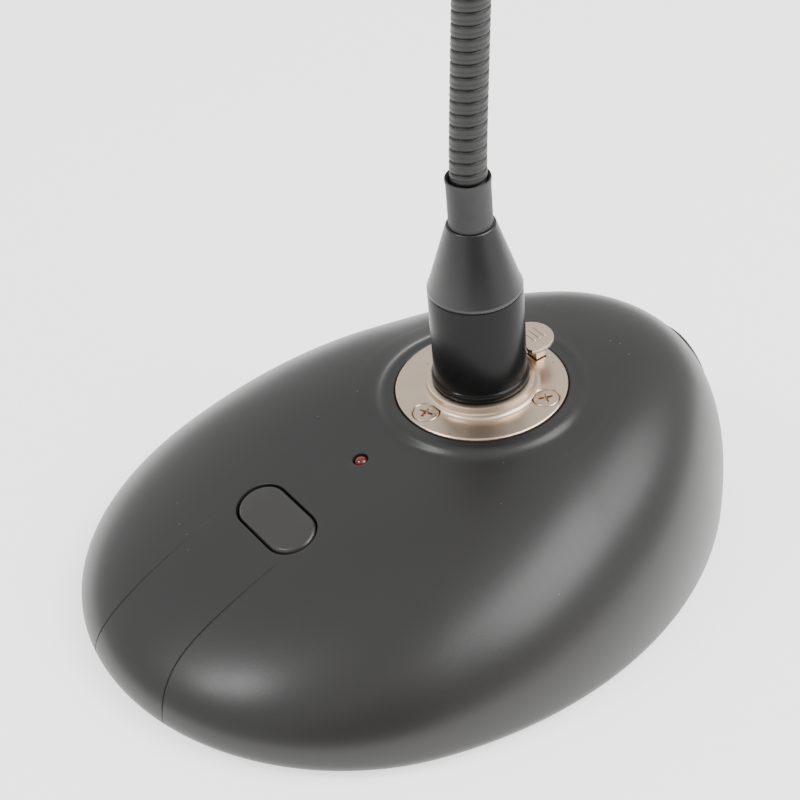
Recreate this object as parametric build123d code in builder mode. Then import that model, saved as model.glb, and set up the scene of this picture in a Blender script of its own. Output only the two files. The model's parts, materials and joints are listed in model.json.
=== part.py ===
"""Desktop gooseneck microphone stand: an egg-shaped weighted base, a round three-screw
socket, a locking plug, a ribbed flexible neck and a slim microphone head.

Millimetres. The table is the plane Z = 0 and +Z is up. The narrow end with the button
faces -Y, and the object is symmetric about the plane X = 0. The origin is the middle of
the base's footprint."""

from build123d import *
import os
from math import atan2, cos, hypot, pi, radians, sin, tan

os.makedirs("parts", exist_ok=True)

# ---- Driving dimensions: base ----
base_length = 148.0
outline_scale = base_length / 148.0  # the outline keeps its proportions at any length
nose_radius = 55.4 * outline_scale  # round front end, seen from above
side_radius = 98.0 * outline_scale  # long curve of each side, seen from above
tail_radius = 37.5 * outline_scale  # round rear end, seen from above
stand_height = 1.2  # underside of the base above the table
widest_height = 4.0  # level of the widest outline
tuck = 1.8  # how far the wall turns in below that level
wall = 3.2
roof_slope = 6.4  # degrees, the roof falls towards the front
front_power = 1.96  # roundness of the roof line towards the front, sides and rear
side_power = 3.34
rear_power = 6.3
wall_power = 1.92  # roundness of the wall where it meets the roof

# ---- Driving dimensions: socket and plug, along the socket's own axis ----
socket_from_rear = 58.5 * outline_scale  # socket centre to the rear end
socket_height = 38.1  # top of the flange above the table
socket_tilt = 5.5  # degrees, leaning to the front
flange_above_roof = 0.8
flange_rim = 8.25  # bore to the flange's edge
flange_thickness = 2.0
flange_proud = 0.4  # flange top above the seat's rim
collar_height = 2.5
collar_wall = 1.55
socket_wall = 2.25
socket_depth = 18.0
gap = 0.3  # between curved faces on pieces that move past each other
barrel_radius = 9.7
bore_clearance = 0.05  # barrel radius to bore radius
barrel_top = 24.8
barrel_wall = 1.15
lip_proud = 0.5
lip_height = 1.6
plug_reach = 12.0  # plug's nose below the flange top
cone_top = 40.2
sleeve_wall = 0.75
sleeve_top = 50.8
sleeve_rim = 0.3

# ---- Driving dimensions: neck and head ----
neck_radius = 3.7
rib_pitch = 2.56
ribs_per_segment = 7
neck_joints = 10
groove_depth = 0.35
joint_relief = 12.0  # degrees, cone on each segment's ends
joint_gap = 0.3
first_joint = 52.9  # above the flange, on the socket axis
head_radius = 6.2
head_length = 26.0
grille_length = 10.0

# ---- Driving dimensions: button, light and inner pieces ----
button_from_socket = 51.0
button_length = 21.4  # opening, side to side
button_width = 11.0
button_gap = 0.35
button_travel = 1.2
light_from_socket = 30.6
light_radius = 1.5
plate_thickness = 2.5
ballast_size = (68.0, 60.0, 8.0)
board_size = (46.0, 30.0, 1.6)
board_height = 15.5
small_board_size = (button_length + 13.6, 15.0, 1.6)
foot_radius = 7.0
foot_thickness = 2.0
post_radius = 3.5
latch_travel = 1.2

# ---- Sizes that follow ----
bore_radius = barrel_radius + bore_clearance
collar_radius = bore_radius + collar_wall
flange_radius = bore_radius + flange_rim
screw_circle = bore_radius + 4.55
lip_radius = barrel_radius + lip_proud
sleeve_radius = neck_radius + sleeve_wall
cone_top_radius = sleeve_radius + 0.5
socket_y = base_length / 2 - socket_from_rear
front_reach = base_length / 2 + socket_y
roof_rise = socket_height - flange_above_roof - widest_height
plate_top = stand_height + plate_thickness
tilt = radians(socket_tilt)
socket_point = Vector(0, socket_y, socket_height)
socket_up = Vector(0, -sin(tilt), cos(tilt))
socket_axis = Axis(socket_point, socket_up)
socket_plane = Plane(origin=socket_point, x_dir=(1, 0, 0), z_dir=socket_up)
turning_plane = Plane(origin=socket_point, x_dir=(1, 0, 0), z_dir=(0, -cos(tilt), -sin(tilt)))

# ---- Outline of the base, about the socket axis: nose, side and tail arcs that touch ----
nose_y = nose_radius - front_reach
tail_y = socket_from_rear - tail_radius
side_to_nose = side_radius - nose_radius
side_to_tail = side_radius - tail_radius
side_ahead = (side_to_nose**2 - side_to_tail**2 + (tail_y - nose_y) ** 2) / (2 * (tail_y - nose_y))
side_y = nose_y + side_ahead
side_x = -((side_to_nose**2 - side_ahead**2) ** 0.5)


def outline(inset):
    """Points around the base's outline, drawn in by inset, about the socket axis."""
    nose_end = atan2(nose_y - side_y, -side_x)
    side_end = atan2(tail_y - side_y, -side_x)
    arcs = (
        (0, nose_y, nose_radius, -pi / 2, nose_end, 6),
        (side_x, side_y, side_radius, nose_end, side_end, 4),
        (0, tail_y, tail_radius, side_end, pi / 2, 4),
    )
    right = []
    for x, y, radius, start, end, steps in arcs:
        for step in range(steps):
            angle = start + (end - start) * step / steps
            right.append((x + (radius - inset) * cos(angle), y + (radius - inset) * sin(angle)))
    right.append((0.0, socket_from_rear - inset))
    return right + [(-x, y) for x, y in right[-2:0:-1]]


def closed_curve(points):
    """Smooth closed curve through the points. Every section divides it in the same shares."""
    ring = outline(0)
    steps = [0.0]
    for here, there in zip(ring, ring[1:] + ring[:1]):
        steps.append(steps[-1] + hypot(there[0] - here[0], there[1] - here[1]))
    shares = [step / steps[-1] for step in steps]
    return Edge.make_spline([Vector(*point) for point in points], periodic=True, parameters=shares)


def drawn_in(x, y, rise):
    """Share of the outline's reach at which the roof has risen by this share."""
    ahead = -y / hypot(x, y)
    end_power = front_power if ahead > 0 else rear_power
    power = side_power + (end_power - side_power) * ahead**2
    return (1 - rise**wall_power) ** (1 / power)


def roof_height(ahead, rise_limit=roof_rise):
    """Height of the roof on the middle line, this far ahead of the socket axis."""
    share = (1 - (ahead / front_reach) ** front_power) ** (1 / wall_power)
    return widest_height + (rise_limit - tan(radians(roof_slope)) * ahead) * share


def roof_plane(ahead):
    """Plane that touches the roof on the middle line, this far ahead of the socket."""
    fall = atan2(roof_height(ahead - 1) - roof_height(ahead + 1), 2)
    place = (0, socket_y - ahead, roof_height(ahead))
    return Plane(origin=place, x_dir=(1, 0, 0), z_dir=(0, -sin(fall), cos(fall)))


rise_levels = (0.15, 0.3, 0.45, 0.6, 0.72, 0.82, 0.9, 0.95, 0.98, 0.994, 0.9992)
turn_levels = (90, 60, 30, 0)


def flat_section(inset, height):
    """Sketch of the outline, drawn in by inset, at this height."""
    with BuildSketch(Plane((0, socket_y, height))) as section:
        with BuildLine():
            add(closed_curve(outline(inset)))
        make_face()
    return section.sketch


def risen_section(inset, rise_limit, rise):
    """Sketch at this share of the roof's rise, in a plane that tilts with the roof."""
    fall = tan(radians(roof_slope)) * rise
    stretch = hypot(1, fall)
    middle = (0, socket_y, widest_height + rise_limit * rise)
    points = []
    for x, y in outline(inset):
        share = drawn_in(x, y, rise)
        points.append((share * x, share * y * stretch))
    with BuildSketch(Plane(origin=middle, x_dir=(1, 0, 0), z_dir=(0, -fall, 1))) as section:
        with BuildLine():
            add(closed_curve(points))
        make_face()
    return section.sketch


# ---- Base: outer form and hollow, then the shell made from them ----
outer_sections = []
for turn in map(radians, turn_levels):
    drop = (widest_height - stand_height) * sin(turn)
    outer_sections.append(flat_section(tuck * (1 - cos(turn)), widest_height - drop))
outer_sections += [risen_section(0, roof_rise, level) for level in rise_levels]
with BuildPart() as outer_form:
    loft(outer_sections)

hollow_sections = [flat_section(wall, widest_height)]
hollow_sections += [risen_section(wall, roof_rise - wall, level) for level in rise_levels]
with BuildPart() as hollow_form:
    loft(hollow_sections)
    extrude(flat_section(wall, stand_height), amount=widest_height - stand_height)

base_front, base_rear = -base_length / 2, base_length / 2
base_posts = [(side * (nose_radius - 29.4), base_front + 28) for side in (-1, 1)]
base_posts += [(side * (tail_radius - 20.5), base_rear - 20) for side in (-1, 1)]
foot_places = [(side * (nose_radius - 25.4), base_front + 44) for side in (-1, 1)]
foot_places += [(side * (tail_radius - 13.5), base_rear - 33) for side in (-1, 1)]
board_middle = socket_y - 21.5
ballast_middle = socket_y - 9.5
board_posts = [
    (side * (board_size[0] / 2 - 4), board_middle + end * (board_size[1] / 2 - 4))
    for side in (-1, 1)
    for end in (-1, 1)
]
button_plane = roof_plane(button_from_socket)
light_plane = roof_plane(light_from_socket)
small_board_top = -12.5  # below the roof, along the button's axis
small_board_posts = [(side * (small_board_size[0] / 2 - 3), 0) for side in (-1, 1)]
output_height = 17.5
output_floor = base_rear - 8.0
output_radius = 12.5
output_tube = 9.5
output_screw_x = 11.05
output_pad_depth = 6.5
pad_reach = output_radius + 1.1

with BuildPart() as post_stock:
    with BuildSketch(Plane.XY.offset(plate_top)):
        with Locations(*base_posts):
            Circle(post_radius)
    extrude(amount=socket_height)
    with BuildSketch(Plane.XY.offset(board_height + board_size[2])):
        with Locations(*board_posts):
            Circle(post_radius - 0.7)
    extrude(amount=socket_height)
    with BuildSketch(button_plane.offset(small_board_top)):
        with Locations(*small_board_posts):
            Circle(2.2)
    extrude(amount=-small_board_top)
    with BuildSketch(Plane.XZ.offset(-output_floor - 1)):
        with Locations((0, output_height)):
            Circle(pad_reach)
    extrude(amount=output_pad_depth + 1)
posts = post_stock.part & outer_form.part

seat_rim = -flange_proud
seat_radius = flange_radius + 0.2
rim_radius = seat_radius + 1.7
shoulder = 2.0
seat_depth = flange_proud + flange_thickness
tube_radius = bore_radius + socket_wall
boss_depth = 7.0
flange_posts = PolarLocations(screw_circle, 3, start_angle=-90)
thread_radius = 1.45
thread_hole = thread_radius + 0.05
screw_head = 2.7
head_seat = screw_head + 0.3

with BuildPart() as top_shell:
    add(outer_form.part)
    add(hollow_form.part, mode=Mode.SUBTRACT)
    add(posts)
    # raised seat round the socket, with a rounded shoulder
    with BuildSketch(turning_plane):
        with BuildLine():
            Polyline(
                (0, seat_rim), (0, -boss_depth), (rim_radius + 0.6, -boss_depth),
                (rim_radius + shoulder + 1.3, seat_rim - shoulder - 2.2),
                (rim_radius + shoulder, seat_rim - shoulder),
            )
            RadiusArc(
                (rim_radius + shoulder, seat_rim - shoulder), (rim_radius, seat_rim), -shoulder
            )
            Line((rim_radius, seat_rim), (0, seat_rim))
        make_face()
    revolve(axis=socket_axis)
    with BuildSketch(socket_plane.offset(-boss_depth)):
        with flange_posts:
            Circle(3.0)
    extrude(amount=-3.5)
    with BuildSketch(socket_plane.offset(-flange_thickness)):
        Circle(seat_radius)
    extrude(amount=seat_depth + 2, mode=Mode.SUBTRACT)
    with BuildSketch(socket_plane):
        Circle(tube_radius + gap)
    extrude(amount=-boss_depth - 4, mode=Mode.SUBTRACT)
    with BuildSketch(socket_plane):
        with flange_posts:
            Circle(thread_hole)
    extrude(amount=-boss_depth - 2.5, mode=Mode.SUBTRACT)
    # slot behind the socket tube for the latch's stem
    with BuildSketch(socket_plane.offset(-flange_thickness)):
        with Locations((0, tube_radius)):
            Rectangle(6.4, 4.9, align=(Align.CENTER, Align.MIN))
    extrude(amount=-boss_depth, mode=Mode.SUBTRACT)
    # openings for the button and the light
    with BuildSketch(button_plane.offset(3)):
        SlotOverall(button_length, button_width)
    extrude(amount=-9, mode=Mode.SUBTRACT)
    with BuildSketch(light_plane.offset(3)):
        Circle(light_radius + 0.12)
    extrude(amount=-9, mode=Mode.SUBTRACT)
    # round pocket and hole for the output connector
    with BuildSketch(Plane.XZ.offset(-output_floor)):
        with Locations((0, output_height)):
            Circle(output_radius + 0.3)
    extrude(amount=-30, mode=Mode.SUBTRACT)
    with BuildSketch(Plane.XZ.offset(-output_floor)):
        with Locations((0, output_height)):
            Circle(output_tube + 0.1)
        with Locations((-output_screw_x, output_height), (output_screw_x, output_height)):
            Circle(0.95)
    extrude(amount=output_pad_depth + 1, mode=Mode.SUBTRACT)
    # pilot holes for the screws
    with BuildSketch(Plane.XY.offset(plate_top)):
        with Locations(*base_posts):
            Circle(thread_hole)
    extrude(amount=8, mode=Mode.SUBTRACT)
    with BuildSketch(Plane.XY.offset(board_height + board_size[2])):
        with Locations(*board_posts):
            Circle(1.15)
    extrude(amount=5, mode=Mode.SUBTRACT)
    with BuildSketch(button_plane.offset(small_board_top)):
        with Locations(*small_board_posts):
            Circle(0.95)
    extrude(amount=4, mode=Mode.SUBTRACT)
top_shell.part.label = "top_shell"
export_step(top_shell.part, "parts/top_shell.step")


# ---- Screws, made head up at the origin and then placed in their groups ----
def countersunk_screw(head, shank, length):
    """Countersunk screw with a cross recess."""
    edge = 0.25
    with BuildPart() as screw:
        with BuildSketch(Plane.XZ):
            with BuildLine():
                Polyline(
                    (0, 0), (head, 0), (head, -edge), (shank, -edge - head + shank),
                    (shank, -length), (0, -length), close=True,
                )
            make_face()
        revolve(axis=Axis.Z)
        with BuildSketch():
            Rectangle(head * 1.15, 0.5)
            Rectangle(0.5, head * 1.15)
        extrude(amount=-0.9, mode=Mode.SUBTRACT)
    return screw.part


def pan_screw(head, shank, length):
    """Pan head screw, its head above the origin."""
    with BuildPart() as screw:
        Cylinder(head, 1.2, align=(Align.CENTER, Align.CENTER, Align.MIN))
        Cylinder(shank, length, align=(Align.CENTER, Align.CENTER, Align.MAX))
    return screw.part


def facing_down(places, height):
    """Locations at this height whose own Z points down."""
    return [Location((x, y, height), (180, 0, 0)) for x, y in places]


# ---- Base plate, feet, ballast and the screws under the base ----
plate_inset = wall + 0.3
foot_recess = foot_thickness - stand_height
ballast_screws_at = [(0, ballast_middle + end * ballast_size[1] / 3) for end in (-1, 1)]

with BuildPart() as base_plate:
    extrude(flat_section(plate_inset, stand_height), amount=plate_thickness)
    with BuildSketch(Plane.XY.offset(stand_height)):
        with Locations(*foot_places):
            Circle(foot_radius + 0.2)
    extrude(amount=foot_recess, mode=Mode.SUBTRACT)
    with Locations(*facing_down((*base_posts, *ballast_screws_at), stand_height)):
        CounterSinkHole(thread_hole, head_seat, plate_thickness + 1, counter_sink_angle=90)
base_plate.part.label = "base_plate"
export_step(base_plate.part, "parts/base_plate.step")

with BuildPart() as base_screws:
    with Locations(*facing_down(base_posts, stand_height)):
        add(countersunk_screw(screw_head, thread_radius, plate_thickness + 7))
base_screws.part.label = "base_screws"
export_step(base_screws.part, "parts/base_screws.step")

with BuildPart() as rubber_feet:
    with Locations(*[(x, y, 0) for x, y in foot_places]):
        Cylinder(foot_radius, foot_thickness, align=(Align.CENTER, Align.CENTER, Align.MIN))
    chamfer(rubber_feet.edges().group_by(Axis.Z)[0], 0.5)
rubber_feet.part.label = "rubber_feet"
export_step(rubber_feet.part, "parts/rubber_feet.step")

with BuildPart() as ballast_weight:
    with BuildSketch(Plane.XY.offset(plate_top)):
        with Locations((0, ballast_middle)):
            RectangleRounded(ballast_size[0], ballast_size[1], 8)
        with Locations(*ballast_screws_at):
            Circle(thread_hole, mode=Mode.SUBTRACT)
    extrude(amount=ballast_size[2])
ballast_weight.part.label = "ballast_weight"
export_step(ballast_weight.part, "parts/ballast_weight.step")

with BuildPart() as ballast_screws:
    with Locations(*facing_down(ballast_screws_at, stand_height)):
        add(countersunk_screw(screw_head, thread_radius, plate_thickness + 6))
ballast_screws.part.label = "ballast_screws"
export_step(ballast_screws.part, "parts/ballast_screws.step")

# ---- Main circuit board, hung under the roof, with what is soldered to it ----
board_top = board_height + board_size[2]
with BuildPart() as circuit_board:
    with BuildSketch(Plane.XY.offset(board_height)):
        with Locations((0, board_middle)):
            RectangleRounded(board_size[0], board_size[1], 1.5)
        with Locations(*board_posts):
            Circle(1.2, mode=Mode.SUBTRACT)
    extrude(amount=board_size[2])
circuit_board.part.label = "circuit_board"
export_step(circuit_board.part, "parts/circuit_board.step")

with BuildPart() as board_screws:
    with Locations(*facing_down(board_posts, board_height)):
        add(pan_screw(2.2, 1.1, board_size[2] + 4.5))
board_screws.part.label = "board_screws"
export_step(board_screws.part, "parts/board_screws.step")

with BuildPart() as board_parts:
    with Locations((-12, board_middle - 3, board_top), (-12, board_middle + 5, board_top)):
        Cylinder(3, 6, align=(Align.CENTER, Align.CENTER, Align.MIN))
    with Locations((12, board_middle + 2, board_top)):
        Box(10, 7, 2, align=(Align.CENTER, Align.CENTER, Align.MIN))
    with Locations((10, board_middle - 8, board_top)):
        Box(8, 5, 4, align=(Align.CENTER, Align.CENTER, Align.MIN))
board_parts.part.label = "board_parts"
export_step(board_parts.part, "parts/board_parts.step")

# ---- Light: a red lamp on a spacer tube, just below the roof ----
with BuildPart() as indicator_light:
    with BuildSketch(light_plane.offset(-9)):
        Circle(light_radius)
    extrude(amount=9 - 1.3)
    with Locations(light_plane.offset(-1.3)):
        Sphere(light_radius)
indicator_light.part.label = "indicator_light"
export_step(indicator_light.part, "parts/indicator_light.step")

with BuildPart() as light_spacer:
    with BuildSketch(light_plane.offset(-wall - 0.8)):
        Circle(light_radius + 1.2)
        Circle(light_radius + 0.05, mode=Mode.SUBTRACT)
    extrude(amount=-socket_height)
    split(bisect_by=Plane.XY.offset(board_top), keep=Keep.TOP)
light_spacer.part.label = "light_spacer"
export_step(light_spacer.part, "parts/light_spacer.step")

# ---- Push button with its switch on a small board of its own ----
skirt_top = -5.2
stem_top = skirt_top - 1.1
stem_bottom = stem_top - 1.1
switch_top = small_board_top + 3.5
plunger_radius = 1.5
with BuildPart() as push_button:
    with BuildSketch(button_plane.offset(0.2)):
        SlotOverall(button_length - 2 * button_gap, button_width - 2 * button_gap)
    extrude(amount=skirt_top - 0.2)
    cap_axis = Axis(button_plane.origin, button_plane.z_dir)
    fillet(push_button.faces().sort_by(cap_axis)[-1].edges(), 0.9)
    with BuildSketch(button_plane.offset(skirt_top)):
        SlotOverall(button_length + 1.6, button_width + 1.6)
    extrude(amount=stem_top - skirt_top)
    with BuildSketch(button_plane.offset(stem_top)):
        Circle(2.4)
    extrude(amount=stem_bottom - stem_top)
push_button.part.label = "push_button"
export_step(push_button.part, "parts/push_button.step")

with BuildPart() as switch_plunger:
    with BuildSketch(button_plane.offset(stem_bottom)):
        Circle(plunger_radius)
    extrude(amount=small_board_top + 0.9 + button_travel - stem_bottom)
switch_plunger.part.label = "switch_plunger"
export_step(switch_plunger.part, "parts/switch_plunger.step")

with BuildPart() as switch_body:
    with BuildSketch(button_plane.offset(small_board_top)):
        RectangleRounded(7, 7, 0.6)
    extrude(amount=switch_top - small_board_top)
    with BuildSketch(button_plane.offset(small_board_top + 0.4)):
        Circle(plunger_radius + gap)
    extrude(amount=5, mode=Mode.SUBTRACT)
switch_body.part.label = "switch_body"
export_step(switch_body.part, "parts/switch_body.step")

with BuildPart() as button_board:
    with BuildSketch(button_plane.offset(small_board_top)):
        RectangleRounded(small_board_size[0], small_board_size[1], 1.5)
        with Locations(*small_board_posts):
            Circle(1.0, mode=Mode.SUBTRACT)
    extrude(amount=-small_board_size[2])
button_board.part.label = "button_board"
export_step(button_board.part, "parts/button_board.step")

button_board_back = button_plane.offset(small_board_top - small_board_size[2])
with BuildPart() as button_board_screws:
    with Locations(button_board_back):
        with Locations(*[Location((x, y, 0), (180, 0, 0)) for x, y in small_board_posts]):
            add(pan_screw(1.9, 0.9, small_board_size[2] + 3.5))
button_board_screws.part.label = "button_board_screws"
export_step(button_board_screws.part, "parts/button_board_screws.step")

# ---- Socket: flange with collar and tube, insert with contacts, latch ----
latch_front = lip_radius + gap
latch_round = (flange_radius - latch_front + 2.6) / 2
latch_middle = flange_radius + gap / 3 - latch_round
latch_lift = 4.8  # latch plate's underside above the flange
latch_plate = 1.0
stem_size = (3.0, 2.2)
stem_y = tube_radius + 2.6
stem_depth = 8.5

with BuildPart() as socket_flange:
    with BuildSketch(turning_plane):
        with BuildLine():
            Polyline(
                (bore_radius, collar_height), (collar_radius - 0.4, collar_height),
                (collar_radius, collar_height - 0.4), (collar_radius + 0.4, 0.9),
                (collar_radius + 0.8, 0.3), (collar_radius + 1.6, 0), (flange_radius - 0.6, 0),
                (flange_radius, -0.6), (flange_radius, -flange_thickness),
                (tube_radius, -flange_thickness), (tube_radius, -socket_depth),
                (bore_radius, -socket_depth), close=True,
            )
        make_face()
    revolve(axis=socket_axis)
    with Locations(socket_plane):
        with PolarLocations(screw_circle, 3, start_angle=-90):
            CounterSinkHole(thread_hole, head_seat, flange_thickness + 1, counter_sink_angle=90)
    with BuildSketch(socket_plane):
        with Locations((0, stem_y)):
            Rectangle(stem_size[0] + 0.6, stem_size[1] + 0.6)
    extrude(amount=-flange_thickness, mode=Mode.SUBTRACT)
socket_flange.part.label = "socket_flange"
export_step(socket_flange.part, "parts/socket_flange.step")

with BuildPart() as flange_screws:
    with Locations(socket_plane):
        with PolarLocations(screw_circle, 3, start_angle=-90):
            add(countersunk_screw(screw_head, thread_radius, 8.5))
flange_screws.part.label = "flange_screws"
export_step(flange_screws.part, "parts/flange_screws.step")

nose_outer = bore_radius - gap
nose_inner = nose_outer - barrel_wall
contact_circle = 4.2
contact_places = PolarLocations(contact_circle, 3, start_angle=90)
contact_outer = 2.0
pin_radius = 1.2
insert_floor = -socket_depth + 3.5
with BuildPart() as socket_insert:
    with BuildSketch(socket_plane.offset(-socket_depth)):
        Circle(bore_radius)
    extrude(amount=insert_floor + socket_depth)
    with BuildSketch(socket_plane.offset(insert_floor)):
        Circle(nose_inner - gap)
    extrude(amount=-1.5 - insert_floor)
    with BuildSketch(socket_plane):
        with contact_places:
            Circle(contact_outer)
    extrude(amount=-socket_depth, mode=Mode.SUBTRACT)
socket_insert.part.label = "socket_insert"
export_step(socket_insert.part, "parts/socket_insert.step")

with BuildPart() as socket_contacts:
    with BuildSketch(socket_plane.offset(-2)):
        with contact_places:
            Circle(contact_outer)
    extrude(amount=2 - socket_depth + 1)
    with BuildSketch(socket_plane.offset(-2)):
        with contact_places:
            Circle(pin_radius + gap)
    extrude(amount=-plug_reach + 0.5, mode=Mode.SUBTRACT)
    with BuildSketch(socket_plane.offset(1 - socket_depth)):
        with contact_places:
            Circle(0.8)
    extrude(amount=-4.5)
socket_contacts.part.label = "socket_contacts"
export_step(socket_contacts.part, "parts/socket_contacts.step")

with BuildPart() as latch_tab:
    with BuildSketch(socket_plane.offset(latch_lift)):
        with Locations((0, latch_middle)):
            Circle(latch_round)
        Circle(latch_front, mode=Mode.SUBTRACT)
        fillet(vertices(), 0.8)
    extrude(amount=latch_plate)
    latch_up = Axis(socket_point, socket_up)
    fillet(latch_tab.faces().sort_by(latch_up)[-1].edges(), 0.3)
    with BuildSketch(socket_plane.offset(latch_lift + latch_plate)):
        with Locations((0, latch_middle + 1.2)):
            with GridLocations(0, 1.3, 1, 3):
                Rectangle(latch_round - 1, 0.5)
    extrude(amount=0.15)
    with BuildSketch(socket_plane.offset(latch_lift)):
        with Locations((0, stem_y)):
            Rectangle(*stem_size)
    extrude(amount=-stem_depth - latch_lift)
latch_tab.part.label = "latch_tab"
export_step(latch_tab.part, "parts/latch_tab.step")

leaf_top = -stem_depth - latch_travel - gap
with BuildPart() as latch_spring:
    with BuildSketch(Plane(origin=socket_point, x_dir=(0, cos(tilt), sin(tilt)), z_dir=(1, 0, 0))):
        with Locations((tube_radius + 0.05, leaf_top)):
            Rectangle(0.35, 4.5, align=(Align.MIN, Align.MAX))
            Rectangle(4.4, 0.35, align=(Align.MIN, Align.MAX))
    extrude(amount=2, both=True)
latch_spring.part.label = "latch_spring"
export_step(latch_spring.part, "parts/latch_spring.step")

# ---- Plug: shell, pins and insert, the cone that closes it and the neck's sleeve ----
lip_bottom = collar_height + gap
with BuildPart() as plug_shell:
    with BuildSketch(turning_plane):
        with BuildLine():
            Polyline(
                (nose_inner, -plug_reach), (nose_outer - 0.3, -plug_reach),
                (nose_outer, -plug_reach + 0.6), (nose_outer, lip_bottom),
                (lip_radius - 0.2, lip_bottom), (lip_radius, lip_bottom + 0.2),
                (lip_radius, lip_bottom + lip_height - 0.2),
                (lip_radius - 0.2, lip_bottom + lip_height),
                (barrel_radius, lip_bottom + lip_height), (barrel_radius, barrel_top),
                (nose_inner, barrel_top), close=True,
            )
        make_face()
    revolve(axis=socket_axis)
plug_shell.part.label = "plug_shell"
export_step(plug_shell.part, "parts/plug_shell.step")

with BuildPart() as plug_insert:
    with BuildSketch(socket_plane.offset(0.5)):
        Circle(nose_inner)
        with contact_places:
            Circle(pin_radius, mode=Mode.SUBTRACT)
    extrude(amount=4)
plug_insert.part.label = "plug_insert"
export_step(plug_insert.part, "parts/plug_insert.step")

with BuildPart() as plug_pins:
    with BuildSketch(socket_plane.offset(8)):
        with contact_places:
            Circle(pin_radius)
    extrude(amount=-8 - plug_reach + 1.5)
    fillet(plug_pins.edges().filter_by(GeomType.CIRCLE).group_by(socket_axis)[0], 0.5)
plug_pins.part.label = "plug_pins"
export_step(plug_pins.part, "parts/plug_pins.step")

spigot_bottom = barrel_top - 6
sleeve_bottom = cone_top - 6.5
with BuildPart() as plug_cone:
    with BuildSketch(turning_plane):
        with BuildLine():
            Polyline(
                (neck_radius, spigot_bottom), (nose_inner, spigot_bottom),
                (nose_inner, barrel_top), (barrel_radius, barrel_top),
                (barrel_radius, barrel_top + 0.5), (barrel_radius - 0.4, barrel_top + 1.3),
                (cone_top_radius, cone_top), (sleeve_radius, cone_top),
                (sleeve_radius, sleeve_bottom), (neck_radius, sleeve_bottom), close=True,
            )
        make_face()
    revolve(axis=socket_axis)
plug_cone.part.label = "plug_cone"
export_step(plug_cone.part, "parts/plug_cone.step")

with BuildPart() as neck_sleeve:
    with BuildSketch(turning_plane):
        with BuildLine():
            Polyline(
                (neck_radius, sleeve_bottom), (sleeve_radius, sleeve_bottom),
                (sleeve_radius, sleeve_top - 1.8), (sleeve_radius + sleeve_rim, sleeve_top - 1.5),
                (sleeve_radius + sleeve_rim, sleeve_top - 0.3), (sleeve_radius, sleeve_top),
                (neck_radius, sleeve_top), close=True,
            )
        make_face()
    revolve(axis=socket_axis)
neck_sleeve.part.label = "neck_sleeve"
export_step(neck_sleeve.part, "parts/neck_sleeve.step")

# ---- Neck: a root in the plug, then ribbed segments standing upright ----
segment_length = rib_pitch * ribs_per_segment
relief = neck_radius * tan(radians(joint_relief))
root_top = first_joint - joint_gap / 2
neck_start = socket_point + socket_up * first_joint
upright_plane = Plane(
    origin=(neck_start.X, neck_start.Y, neck_start.Z), x_dir=(1, 0, 0), z_dir=(0, -1, 0)
)
upright_axis = Axis(neck_start, (0, 0, 1))

with BuildPart() as neck_root:
    with BuildSketch(turning_plane):
        with BuildLine():
            Polyline(
                (0, spigot_bottom + 2), (neck_radius, spigot_bottom + 2),
                (neck_radius, root_top - relief), (0, root_top), close=True,
            )
        make_face()
    revolve(axis=socket_axis)
neck_root.part.label = "neck_root"
export_step(neck_root.part, "parts/neck_root.step")


def ribbed_outline(bottom, ribs, top_point):
    """Half outline of a ribbed length of neck above this height, up to its top point."""
    low = bottom + joint_gap / 2
    points = [(0, low), (neck_radius, low + relief)]
    for rib in range(1, ribs):
        groove = bottom + rib * rib_pitch
        points += [
            (neck_radius, groove - 0.3), (neck_radius - groove_depth, groove),
            (neck_radius, groove + 0.3),
        ]
    return points + top_point


for index in range(neck_joints - 1):
    bottom = index * segment_length
    top = bottom + segment_length - joint_gap / 2
    with BuildPart() as segment:
        with BuildSketch(upright_plane):
            with BuildLine():
                crown = [(neck_radius, top - relief), (0, top)]
                Polyline(*ribbed_outline(bottom, ribs_per_segment, crown), close=True)
            make_face()
        revolve(axis=upright_axis)
    segment.part.label = f"neck_segment_{index + 1:02d}"
    export_step(segment.part, f"parts/{segment.part.label}.step")

# ---- Head: the neck's tip, the housing with its trim ring, the capsule and the grille ----
tip_bottom = (neck_joints - 1) * segment_length
head_bottom = tip_bottom + 4 * rib_pitch
seat_length = 6.0
shell_wall = 1.0
ring_height = 1.4
head_inner = head_radius - shell_wall
cone_length = 6.0

with BuildPart() as neck_tip:
    with BuildSketch(upright_plane):
        with BuildLine():
            crown = [(neck_radius, head_bottom + seat_length), (0, head_bottom + seat_length)]
            Polyline(*ribbed_outline(tip_bottom, 4, crown), close=True)
        make_face()
    revolve(axis=upright_axis)
neck_tip.part.label = "neck_tip"
export_step(neck_tip.part, "parts/neck_tip.step")

housing_top = head_bottom + head_length
with BuildPart() as head_housing:
    with BuildSketch(upright_plane):
        with BuildLine():
            Polyline(
                (neck_radius, head_bottom), (neck_radius + 0.9, head_bottom),
                (neck_radius + 1.1, head_bottom + 0.3), (head_radius, head_bottom + cone_length),
                (head_radius, housing_top), (head_inner, housing_top),
                (head_inner, head_bottom + seat_length + 1), (0, head_bottom + seat_length + 1),
                (0, head_bottom + seat_length), (neck_radius, head_bottom + seat_length),
                close=True,
            )
        make_face()
    revolve(axis=upright_axis)
head_housing.part.label = "head_housing"
export_step(head_housing.part, "parts/head_housing.step")

with BuildPart() as head_ring:
    with BuildSketch(upright_plane):
        with BuildLine():
            Polyline(
                (head_inner, housing_top), (head_radius + 0.1, housing_top),
                (head_radius + 0.1, housing_top + ring_height),
                (head_inner, housing_top + ring_height), close=True,
            )
        make_face()
    revolve(axis=upright_axis)
head_ring.part.label = "head_ring"
export_step(head_ring.part, "parts/head_ring.step")

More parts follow.
